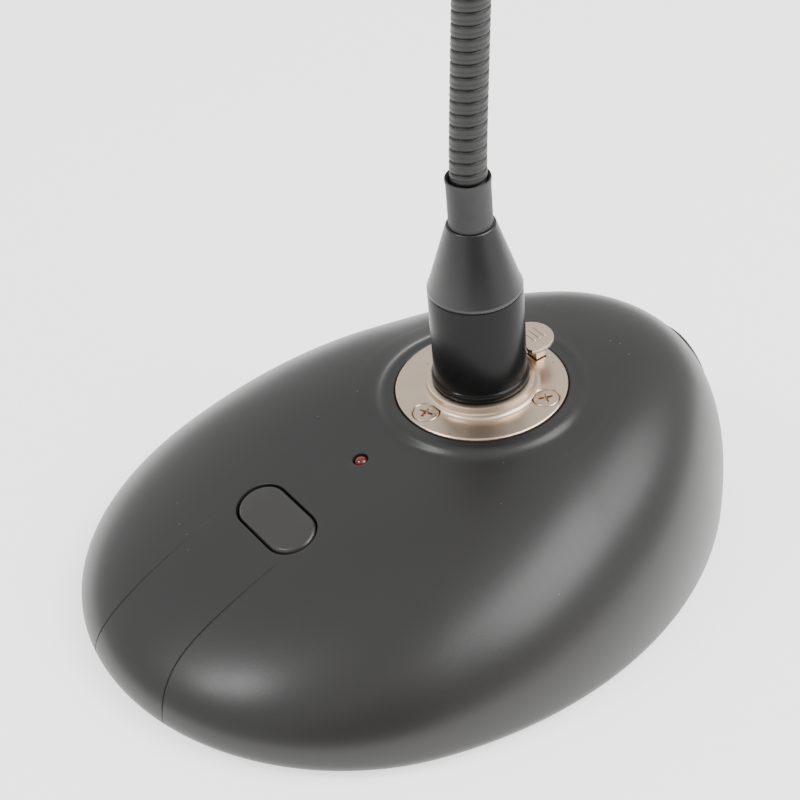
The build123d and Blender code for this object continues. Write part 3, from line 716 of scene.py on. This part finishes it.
def nickel(name, tone, roughness):
    """Satin nickel plate over a fine cast grain, with faint stains."""
    finish = Finish(name, metallic=1.0)
    stain = finish.noise(160, 4)
    colour = finish.blend(stain, plated(tone * 1.06), plated(tone * 0.9))
    colour = finish.blend(finish.specks(700, 0.16, 0.03), colour, plated(tone * 0.5))
    finish.feed("Base Color", colour)
    finish.feed("Roughness", roughness + 0.1 * finish.noise(700, 2) + 0.06 * stain)
    finish.bump(finish.noise(2200, 3), 0.00003, 0.45)
    return finish


flange_nickel = nickel("flange_nickel", 0.68, 0.26)
screw_nickel = nickel("screw_nickel", 0.66, 0.22)
dress(flange_nickel, flange)
dress(screw_nickel, flange_screws)
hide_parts("socket_flange")
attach(flange, "root")
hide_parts("flange_screws")
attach(flange_screws, "root")

# Release latch: a round pressed nickel tab that stands over the flange behind the plug, hollowed to clear
# it, with three embossed grip bars. Its stem goes down through the flange to a leaf spring.
barrel_radius, barrel_top, lip_radius = 9.7 * mm, 24.8 * mm, 10.2 * mm
tab_hollow, tab_rear = lip_radius + 0.3 * mm, flange_radius + 0.1 * mm
tab_round = (flange_radius - tab_hollow + 2.6 * mm) / 2
tab_low, tab_high = 4.8 * mm, 5.8 * mm
outer_cut, hollow_cut = 0.14, 0.05


def tab_outline(inset):
    """Outline of the tab: a disc less the hollow round the plug, with its two points taken off."""
    hollow, outer, middle = tab_hollow + inset, tab_round - inset, tab_rear - tab_round
    cross_y = (hollow**2 - outer**2 + middle**2) / (2 * middle)
    cross_x = sqrt(hollow**2 - cross_y**2)
    outer_start = atan2(cross_y - middle, cross_x) + outer_cut
    hollow_start = atan2(cross_y, cross_x) + hollow_cut
    points = []
    for step in range(41):
        angle = outer_start + (pi - 2 * outer_start) * step / 40
        points.append((outer * cos(angle), middle + outer * sin(angle)))
    for step in range(17):
        angle = pi - hollow_start - (pi - 2 * hollow_start) * step / 16
        points.append((hollow * cos(angle), hollow * sin(angle)))
    return points


tab_levels = ((0.12 * mm, tab_low), (0, tab_low + 0.12 * mm), (0, tab_high - 0.3 * mm),
              (0.09 * mm, tab_high - 0.09 * mm), (0.3 * mm, tab_high))
latch = from_rings("latch", [
    [socket_point + socket_side * x + socket_rear * y + socket_up * height for x, y in tab_outline(inset)]
    for inset, height in tab_levels])
boolean(latch, from_rings("stem", box_rings(
    socket_point + socket_rear * stem_behind, socket_side, socket_rear, socket_up,
    3 * mm, 2.2 * mm, -8.5 * mm, tab_low + 0.3 * mm)), "UNION")
for step in (-1, 0, 1):
    bar_middle = socket_point + socket_rear * (tab_rear - tab_round + (1.2 + 1.3 * step) * mm)
    boolean(latch, from_rings("grip_bar", box_rings(
        bar_middle, socket_side, socket_rear, socket_up, 3.8 * mm, 0.45 * mm,
        tab_high - 0.3 * mm, tab_high + 0.13 * mm)), "UNION")
smooth(latch, 30)
dress(flange_nickel, latch)
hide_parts("latch_tab")
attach(latch, "latch")

# Plug: a turned and black-lacquered shell with a lip at its foot, closed by a tapered cone that is
# screwed in. The nose below the lip goes down into the socket.
cone_top, sleeve_radius, sleeve_top = 40.2 * mm, 4.45 * mm, 50.8 * mm
nose_outer = bore_radius - 0.3 * mm
nose_inner = nose_outer - 1.15 * mm
lip_low, lip_high = collar_height + 0.3 * mm, collar_height + 1.9 * mm
barrel_profile = [
    (nose_inner, barrel_top - 0.3 * mm), (nose_inner, -12 * mm), (nose_outer - 0.3 * mm, -12 * mm),
    (nose_outer, -11.4 * mm), (nose_outer, lip_low - 0.05 * mm), (nose_outer + 0.05 * mm, lip_low),
    (lip_radius - 0.25 * mm, lip_low), (lip_radius - 0.07 * mm, lip_low + 0.07 * mm),
    (lip_radius, lip_low + 0.25 * mm), (lip_radius, lip_high - 0.35 * mm),
    (lip_radius - 0.1 * mm, lip_high - 0.15 * mm), (barrel_radius + 0.18 * mm, lip_high),
    (barrel_radius + 0.03 * mm, lip_high + 0.15 * mm), (barrel_radius, lip_high + 0.4 * mm),
    (barrel_radius, barrel_top - 0.18 * mm), (barrel_radius - 0.06 * mm, barrel_top - 0.05 * mm),
    (barrel_radius - 0.2 * mm, barrel_top - 0.02 * mm),
]
barrel = from_rings("barrel", disc_rings(barrel_profile, socket_point, socket_up, 160), closed=True)
smooth(barrel, 35)

cone_profile = [
    (3.75 * mm, barrel_top - 6 * mm), (nose_inner, barrel_top - 6 * mm), (nose_inner, barrel_top - 0.02 * mm),
    (barrel_radius - 0.2 * mm, barrel_top), (barrel_radius - 0.04 * mm, barrel_top + 0.05 * mm),
    (barrel_radius, barrel_top + 0.2 * mm), (barrel_radius, barrel_top + 0.55 * mm),
    (barrel_radius - 0.12 * mm, barrel_top + 0.95 * mm), (barrel_radius - 0.4 * mm, barrel_top + 1.5 * mm),
    (5.05 * mm, cone_top - 0.25 * mm), (4.9 * mm, cone_top - 0.05 * mm), (4.75 * mm, cone_top),
    (4.5 * mm, cone_top - 0.02 * mm), (4.46 * mm, cone_top - 0.3 * mm), (4.46 * mm, cone_top - 6.5 * mm),
    (3.75 * mm, cone_top - 6.5 * mm),
]
cone = from_rings("cone", disc_rings(cone_profile, socket_point, socket_up, 160), closed=True)
smooth(cone, 35)


def lacquer(name, tone, roughness, grain, shine):
    """Black lacquer over turned metal, with faint turning marks and a few specks of dust."""
    finish = Finish(name, specular_ior_level=shine)
    colour = finish.blend(finish.noise(120, 3), grey(tone * 0.85), grey(tone * 1.2))
    colour = finish.blend(finish.specks(500, 0.07, 0.01), colour, grey(0.25))
    finish.feed("Base Color", colour)
    finish.feed("Roughness", roughness + 0.07 * finish.noise(180, 3))
    marks = finish.noise(1, 3, finish.place(scale=(900, 900, 5200)))
    finish.bump(marks + 0.6 * finish.noise(2400, 2), 0.000008, grain)
    return finish


barrel_lacquer = lacquer("barrel_lacquer", 0.004, 0.18, 0.2, 0.18)
cone_lacquer = lacquer("cone_lacquer", 0.005, 0.3, 0.6, 0.65)
dress(barrel_lacquer, barrel)
dress(cone_lacquer, cone)
for piece, node, name in ((barrel, "plug_shell", "plug_black"), (cone, "plug_cone", "cone_black")):
    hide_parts(node)
    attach(piece, "plug")

# Sleeve: a moulded rubber grommet pushed over the foot of the neck and into the cone, with a slightly
# flared mouth.
sleeve_profile = [
    (3.72 * mm, cone_top - 6.5 * mm), (sleeve_radius, cone_top - 6.5 * mm),
    (sleeve_radius, sleeve_top - 1.3 * mm), (sleeve_radius + 0.12 * mm, sleeve_top - 0.9 * mm),
    (sleeve_radius + 0.16 * mm, sleeve_top - 0.3 * mm), (sleeve_radius + 0.1 * mm, sleeve_top - 0.08 * mm),
    (sleeve_radius - 0.02 * mm, sleeve_top), (4.2 * mm, sleeve_top - 0.1 * mm),
    (3.85 * mm, sleeve_top - 0.7 * mm), (3.72 * mm, sleeve_top - 1.1 * mm),
]
sleeve = from_rings("sleeve", disc_rings(sleeve_profile, socket_point, socket_up, 96), closed=True)
smooth(sleeve, 40)
sleeve_rubber = Finish("sleeve_rubber", specular_ior_level=0.35)
sleeve_rubber.paint(sleeve_rubber.noise(250, 3), grey(0.03), grey(0.042))
sleeve_rubber.feed("Roughness", 0.55 + 0.12 * sleeve_rubber.noise(400, 2))
sleeve_rubber.bump(sleeve_rubber.noise(3000, 2), 0.00002, 0.5)
dress(sleeve_rubber, sleeve)
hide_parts("neck_sleeve")
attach(sleeve, "plug")

# Flexible neck: steel wire wound over a spring into a continuous right-handed helix, then lacquered. It
# bends anywhere along its length. Each length of winding is made round one hinge.
rib_pitch, neck_radius, groove_depth = 2.56 * mm, 3.7 * mm, 0.42 * mm
segment_length = 7 * rib_pitch
neck_lean = -socket_up.y / socket_up.z


def ribbed_tree():
    """Node tree that winds a ribbed tube between two heights round an upright axis."""
    tree = bpy.data.node_groups.new("wound_tube", "GeometryNodeTree")
    sockets = {}
    for label in ("Bottom", "Top", "Radius", "Pitch", "Groove", "Lean", "Rows"):
        kind = "NodeSocketInt" if label == "Rows" else "NodeSocketFloat"
        sockets[label] = tree.interface.new_socket(label, in_out="INPUT", socket_type=kind).identifier
    sockets["Finish"] = tree.interface.new_socket(
        "Finish", in_out="INPUT", socket_type="NodeSocketMaterial").identifier
    tree.interface.new_socket("Mesh", in_out="OUTPUT", socket_type="NodeSocketGeometry")
    given = tree.nodes.new("NodeGroupInput")

    def link(source, target):
        tree.links.new(source, target)

    def calculate(operation, *values):
        made = tree.nodes.new("ShaderNodeMath")
        made.operation = operation
        for number, value in enumerate(values):
            if isinstance(value, (int, float)):
                made.inputs[number].default_value = value
            else:
                link(value, made.inputs[number])
        return made.outputs[0]

    sheet = tree.nodes.new("GeometryNodeMeshGrid")
    sheet.inputs["Size X"].default_value = 1
    sheet.inputs["Size Y"].default_value = 1
    sheet.inputs["Vertices X"].default_value = 73
    link(given.outputs["Rows"], sheet.inputs["Vertices Y"])
    position = tree.nodes.new("GeometryNodeInputPosition")
    parts = tree.nodes.new("ShaderNodeSeparateXYZ")
    link(position.outputs[0], parts.inputs[0])
    round_share = calculate("ADD", parts.outputs["X"], 0.5)
    up_share = calculate("ADD", parts.outputs["Y"], 0.5)
    length = calculate("SUBTRACT", given.outputs["Top"], given.outputs["Bottom"])
    height = calculate("ADD", given.outputs["Bottom"], calculate("MULTIPLY", length, up_share))
    angle = calculate("MULTIPLY", round_share, 2 * pi)
    winding = calculate("SUBTRACT", calculate("DIVIDE", height, given.outputs["Pitch"]), round_share)
    along_rib = calculate("FRACT", calculate("ADD", winding, 100))
    away = calculate("ABSOLUTE", calculate("SUBTRACT", along_rib, 0.5))
    # a deep narrow groove between ribs and a faint one along the middle of each rib
    deep = calculate("POWER", calculate("MULTIPLY", away, 2), 7)
    beside = calculate("SMOOTH_MIN", calculate("MULTIPLY", away, 7), 1, 0.2)
    faint = calculate("MULTIPLY", calculate("SUBTRACT", 1, beside), 0.16)
    sunk = calculate("MULTIPLY", calculate("ADD", deep, faint), given.outputs["Groove"])
    radius = calculate("SUBTRACT", given.outputs["Radius"], sunk)
    softened = calculate("SQRT", calculate("ADD", calculate("MULTIPLY", height, height), (5 * mm) ** 2))
    below = calculate("SUBTRACT", softened, height)
    lean = calculate("MULTIPLY", below, calculate("MULTIPLY", given.outputs["Lean"], 0.5))
    placed = tree.nodes.new("ShaderNodeCombineXYZ")
    link(calculate("MULTIPLY", radius, calculate("COSINE", angle)), placed.inputs["X"])
    link(calculate("ADD", calculate("MULTIPLY", radius, calculate("SINE", angle)), lean), placed.inputs["Y"])
    link(height, placed.inputs["Z"])
    moved = tree.nodes.new("GeometryNodeSetPosition")
    link(sheet.outputs["Mesh"], moved.inputs["Geometry"])
    link(placed.outputs[0], moved.inputs["Position"])
    realized = tree.nodes.new("GeometryNodeRealizeInstances")
    link(moved.outputs[0], realized.inputs[0])
    finished = tree.nodes.new("GeometryNodeSetMaterial")
    link(realized.outputs[0], finished.inputs["Geometry"])
    link(given.outputs["Finish"], finished.inputs["Material"])
    result = tree.nodes.new("NodeGroupOutput")
    link(finished.outputs[0], result.inputs[0])
    return tree, sockets


def wound(name, bottom, top, finish, tree, sockets):
    """Plain mesh of the wound tube between two heights above the neck's start."""
    holder = add_piece(name, [(0, 0, 0)], [])
    modifier = holder.modifiers.new("winding", "NODES")
    modifier.node_group = tree
    rows = int((top - bottom) / (0.11 * mm)) + 1
    given = {
        "Bottom": bottom, "Top": top, "Radius": neck_radius, "Pitch": rib_pitch,
        "Groove": groove_depth, "Lean": neck_lean, "Rows": rows, "Finish": finish.material,
    }
    for label, value in given.items():
        modifier[sockets[label]] = value
    evaluated = holder.evaluated_get(bpy.context.evaluated_depsgraph_get())
    mesh = bpy.data.meshes.new_from_object(evaluated)
    holder.modifiers.clear()
    holder.data = mesh
    work = bmesh.new()
    work.from_mesh(mesh)
    bmesh.ops.remove_doubles(work, verts=work.verts, dist=0.000004)
    bmesh.ops.holes_fill(work, edges=[edge for edge in work.edges if edge.is_boundary], sides=0)
    bmesh.ops.recalc_face_normals(work, faces=work.faces)
    bmesh.ops.translate(work, verts=work.verts, vec=neck_start)
    work.to_mesh(mesh)
    work.free()
    smooth(holder, 50)
    return holder


neck_lacquer = Finish("neck_lacquer", specular_ior_level=0.45)
neck_lacquer.paint(neck_lacquer.noise(300, 3), grey(0.01, 0.03), grey(0.018, 0.03))
neck_lacquer.feed("Roughness", 0.42 + 0.14 * neck_lacquer.noise(500, 2))
neck_lacquer.bump(neck_lacquer.noise(2600, 2), 0.00002, 0.5)
winding_tree, winding_sockets = ribbed_tree()
hinges = [joint for joint in frame["joints"] if joint["name"].startswith("neck_")]
neck_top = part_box("head_housing")[0].z - neck_start.z + 2 * mm
for number, hinge in enumerate(hinges):
    bend_height = hinge["pos_m"][2] - neck_start.z
    bottom = sleeve_top - first_joint - 3 * mm if number == 0 else bend_height - segment_length / 2
    top = neck_top if number == len(hinges) - 1 else bend_height + segment_length / 2
    length = wound(f"neck_winding_{number + 1:02d}", bottom, top, neck_lacquer, winding_tree, winding_sockets)
    stands_for = {0: ["neck_root", "neck_segment_01"], len(hinges) - 1: ["neck_tip"]}
    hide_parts(*stands_for.get(number, [f"neck_segment_{number + 1:02d}"]))
    reach_up = Vector((0, 0, 0.46 * segment_length))
    middle = Vector(hinge["pos_m"])
    start = middle - (Vector((0, 0, 1.8 * mm)) if number == 0 else reach_up)
    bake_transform(length)

# Microphone head: a slim turned housing with a tapered foot, a satin trim ring and a woven grille over
# the capsule.
housing_low, housing_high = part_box("head_housing")
housing_radius = (housing_high.x - housing_low.x) / 2
head_axis = Vector((0, neck_start.y, 0))
upright = Vector((0, 0, 1))
foot = housing_low.z
housing_inner = housing_radius - 1 * mm
housing_profile = [
    (3.75 * mm, foot + 6.5 * mm), (3.75 * mm, foot), (4.45 * mm, foot), (4.7 * mm, foot + 0.12 * mm),
    (4.85 * mm, foot + 0.4 * mm), (4.95 * mm, foot + 1.0 * mm), (5.3 * mm, foot + 2.4 * mm),
    (5.75 * mm, foot + 4.1 * mm), (6.05 * mm, foot + 5.4 * mm),
    (housing_radius - 0.02 * mm, foot + 6.6 * mm), (housing_radius, foot + 7.6 * mm),
    (housing_radius, housing_high.z - 0.25 * mm), (housing_radius - 0.1 * mm, housing_high.z - 0.08 * mm),
    (housing_radius - 0.25 * mm, housing_high.z), (housing_inner, housing_high.z),
    (housing_inner, foot + 6.5 * mm),
]
housing = from_rings("housing", disc_rings(housing_profile, head_axis, upright, 96), closed=True)
smooth(housing, 35)
head_lacquer = lacquer("head_lacquer", 0.02, 0.36, 0.6, 0.5)
dress(head_lacquer, housing)
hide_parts("head_housing")
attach(housing, "head")

ring_low, ring_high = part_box("head_ring")
ring_radius = (ring_high.x - ring_low.x) / 2
ring_profile = [
    (housing_inner, ring_low.z), (ring_radius - 0.15 * mm, ring_low.z), (ring_radius, ring_low.z + 0.15 * mm),
    (ring_radius, ring_high.z - 0.25 * mm), (ring_radius - 0.1 * mm, ring_high.z - 0.08 * mm),
    (ring_radius - 0.25 * mm, ring_high.z), (housing_inner, ring_high.z),
]
trim = from_rings("trim_ring", disc_rings(ring_profile, head_axis, upright, 96), closed=True)
smooth(trim, 30)
dress(nickel("trim_satin", 0.55, 0.28), trim)
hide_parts("head_ring")
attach(trim, "head")

grille_low, grille_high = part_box("head_grille")
grille_radius = (grille_high.x - grille_low.x) / 2 - 0.15 * mm
grille_round = 3.7 * mm
wire_rings, wires_round = [], 60
grille_profile = [(grille_radius, grille_low.z + 0.7 * mm * step) for step in range(9)]
dome_base = grille_profile[-1][1]
dome_height = grille_high.z - 0.12 * mm - dome_base
for step in range(1, 7):
    turn = pi / 2 * step / 6.6
    grille_profile.append((
        grille_radius - grille_round * (1 - cos(turn)), dome_base + dome_height * sin(turn)))
crown_radius, crown_height = grille_profile[-1]
for share in (0.75, 0.5, 0.28):
    grille_profile.append((crown_radius * share, crown_height + 0.05 * mm * (1 - share)))
for level, (radius, height) in enumerate(grille_profile):
    twist = pi / wires_round * (level % 2)
    turns = [2 * pi * step / wires_round + twist for step in range(wires_round)]
    wire_rings.append([
        head_axis + Vector((radius * cos(turn), radius * sin(turn), height)) for turn in turns])
lattice = []
for level in range(len(wire_rings) - 1):
    low, high = level * wires_round, (level + 1) * wires_round
    for step in range(wires_round):
        after = (step + 1) % wires_round
        if level % 2 == 0:
            lattice += [(low + step, low + after, high + step), (high + step, low + after, high + after)]
        else:
            lattice += [(low + step, low + after, high + after), (high + after, high + step, low + step)]
lattice.append(tuple(range((len(wire_rings) - 1) * wires_round, len(wire_rings) * wires_round)))
grille = add_piece("grille", [point for ring in wire_rings for point in ring], lattice)
wires = grille.modifiers.new("wires", "WIREFRAME")
wires.thickness = 0.2 * mm
wires.use_even_offset = False
grille.data = bpy.data.meshes.new_from_object(grille.evaluated_get(bpy.context.evaluated_depsgraph_get()))
grille.modifiers.clear()
face_outwards(grille, 0.000001)
smooth(grille, 60)
grille_paint = Finish("grille_paint", roughness=0.4, metallic=0.6)
grille_paint.paint(grille_paint.noise(500, 2), grey(0.02), grey(0.05))
dress(grille_paint, grille)
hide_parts("head_grille")
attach(grille, "head")

# Underside and rear: powder-coated steel plate with rubber feet and dark screws, and the nickel outlet
# with its insert and pins.
nodes = frame["nodes"]
powder_coat = Finish("powder_coat", roughness=0.55)
powder_coat.paint(powder_coat.noise(90, 3), grey(0.03), grey(0.045))
powder_coat.bump(powder_coat.noise(1600, 3), 0.00006, 0.7)
dress(powder_coat, nodes["base_plate"])

foot_rubber = Finish("foot_rubber", specular_ior_level=0.3)
foot_rubber.paint(foot_rubber.noise(150, 3), grey(0.025), grey(0.045))
foot_rubber.feed("Roughness", 0.7 + 0.15 * foot_rubber.noise(500, 2))
foot_rubber.bump(foot_rubber.noise(1800, 2), 0.00005, 0.6)
dress(foot_rubber, nodes["rubber_feet"], nodes["capsule_seat"])

dark_zinc = Finish("dark_zinc", metallic=1.0)
dark_zinc.paint(dark_zinc.noise(600, 3), grey(0.12), grey(0.2))
dark_zinc.feed("Roughness", 0.34 + 0.15 * dark_zinc.noise(900, 2))
dress(dark_zinc, *[nodes[name] for name in (
    "base_screws", "ballast_screws", "board_screws", "button_board_screws", "output_screws")])
dress(flange_nickel, nodes["output_shell"])

insulator = Finish("insulator", specular_ior_level=0.4)
insulator.paint(insulator.noise(300, 2), grey(0.015), grey(0.03))
insulator.feed("Roughness", 0.5 + 0.1 * insulator.noise(700, 2))
dress(insulator, *[nodes[name] for name in (
    "socket_insert", "plug_insert", "output_insert", "light_spacer", "switch_plunger")])

gold_flash = Finish("gold_flash", metallic=1.0)
gold_flash.paint(gold_flash.noise(400, 3), (0.8, 0.6, 0.28, 1), (0.66, 0.48, 0.22, 1))
gold_flash.feed("Roughness", 0.2 + 0.12 * gold_flash.noise(900, 2))
dress(gold_flash, nodes["socket_contacts"], nodes["plug_pins"], nodes["output_pins"])

# Inner pieces, sealed in the base and the head: cast ballast, green boards with their parts, the leaf
# spring and the turned capsule.
cast_iron = Finish("cast_iron", metallic=0.3)
cast_iron.paint(cast_iron.noise(120, 5), grey(0.12, 0.05), grey(0.2, 0.08))
cast_iron.feed("Roughness", 0.6 + 0.2 * cast_iron.noise(300, 3))
cast_iron.bump(cast_iron.noise(900, 4), 0.0002, 0.8)
dress(cast_iron, nodes["ballast_weight"])

solder_mask = Finish("solder_mask")
board_tracks = solder_mask.noise(1, 1, solder_mask.place(scale=(300, 1500, 300))) > 0.55
solder_mask.paint(board_tracks, (0.01, 0.09, 0.03, 1), (0.02, 0.16, 0.06, 1))
solder_mask.feed("Roughness", 0.25 + 0.1 * solder_mask.noise(500, 2))
dress(solder_mask, nodes["circuit_board"], nodes["button_board"])

moulded_parts = Finish("moulded_parts")
moulded_parts.paint(moulded_parts.noise(700, 2), grey(0.02), grey(0.04))
moulded_parts.feed("Roughness", 0.35 + 0.15 * moulded_parts.noise(900, 2))
dress(moulded_parts, nodes["board_parts"], nodes["switch_body"])
dress(screw_nickel, nodes["latch_spring"], nodes["mic_capsule"])

# Table, light and camera: a plain pale table under soft studio light. One broad light stands to the
# right, one small one to the left, and the room is pale all round but dimmer at the front right.
table = add_piece("table", [(-4, -4, 0), (4, -4, 0), (4, 4, 0), (-4, 4, 0)], [(0, 1, 2, 3)])
table_paint = Finish("table_paint", roughness=0.8, specular_ior_level=0.2, emission_strength=1.5)
table_paint.shader.inputs["Emission Color"].default_value = (1, 1, 0.99, 1)
table_paint.paint(table_paint.noise(3, 2), (0.86, 0.86, 0.855, 1), (0.9, 0.9, 0.895, 1))
dress(table_paint, table)


def direction(azimuth, elevation):
    """Unit vector out from the base, azimuth round from the front and elevation up from the table."""
    a, e = radians(azimuth), radians(elevation)
    return Vector((sin(a) * cos(e), -cos(a) * cos(e), sin(e)))


world = bpy.data.worlds.new("room")
world.use_nodes = True
room = world.node_tree
facing = room.nodes.new("ShaderNodeNewGeometry")
towards = room.nodes.new("ShaderNodeVectorMath")
towards.operation = "DOT_PRODUCT"
towards.inputs[1].default_value = -direction(66, 12)
dim = room.nodes.new("ShaderNodeMapRange")
dim.interpolation_type = "SMOOTHSTEP"
dim.inputs["From Min"].default_value = 0.68
dim.inputs["From Max"].default_value = 0.97
dim.inputs["To Min"].default_value = 1.0
dim.inputs["To Max"].default_value = 0.25
room.links.new(facing.outputs["Incoming"], towards.inputs[0])
room.links.new(towards.outputs["Value"], dim.inputs["Value"])
room.links.new(dim.outputs["Result"], room.nodes["Background"].inputs["Strength"])
room.nodes["Background"].inputs["Color"].default_value = (1, 1, 1, 1)
bpy.context.scene.world = world


def softbox(name, azimuth, elevation, distance, size, power_watts):
    """Area light that faces the base."""
    light = bpy.data.lights.new(name, "AREA")
    light.shape = "RECTANGLE"
    light.size, light.size_y = size
    light.energy = power_watts
    holder = bpy.data.objects.new(name, light)
    aim = direction(azimuth, elevation)
    holder.location = socket_point + aim * distance
    holder.rotation_euler = aim.to_track_quat("Z", "Y").to_euler()
    bpy.context.scene.collection.objects.link(holder)


softbox("broad_light", 128, 50, 1.1, (0.9, 0.7), 13)
softbox("small_light", -15, 46, 1.0, (0.12, 0.12), 2.6)

view_azimuth, view_elevation, view_distance = 54.57, 35.79, 0.4
back_to_camera = direction(view_azimuth, view_elevation)
view_right = Vector((cos(radians(view_azimuth)), sin(radians(view_azimuth)), 0))
view_up = back_to_camera.cross(view_right)
aim_left, aim_down = 16.91 * mm, 3.45 * mm
aim_point = socket_point - aim_left * view_right - aim_down * view_up
camera_data = bpy.data.cameras.new("camera")
camera_data.sensor_width = 36
camera_data.lens = 86.69
camera_data.clip_start = 0.01
camera = bpy.data.objects.new("camera", camera_data)
camera.matrix_world = Matrix.Translation(aim_point + back_to_camera * view_distance) @ Matrix((
    view_right, view_up, back_to_camera)).transposed().to_4x4()
bpy.context.scene.collection.objects.link(camera)
bpy.context.scene.camera = camera
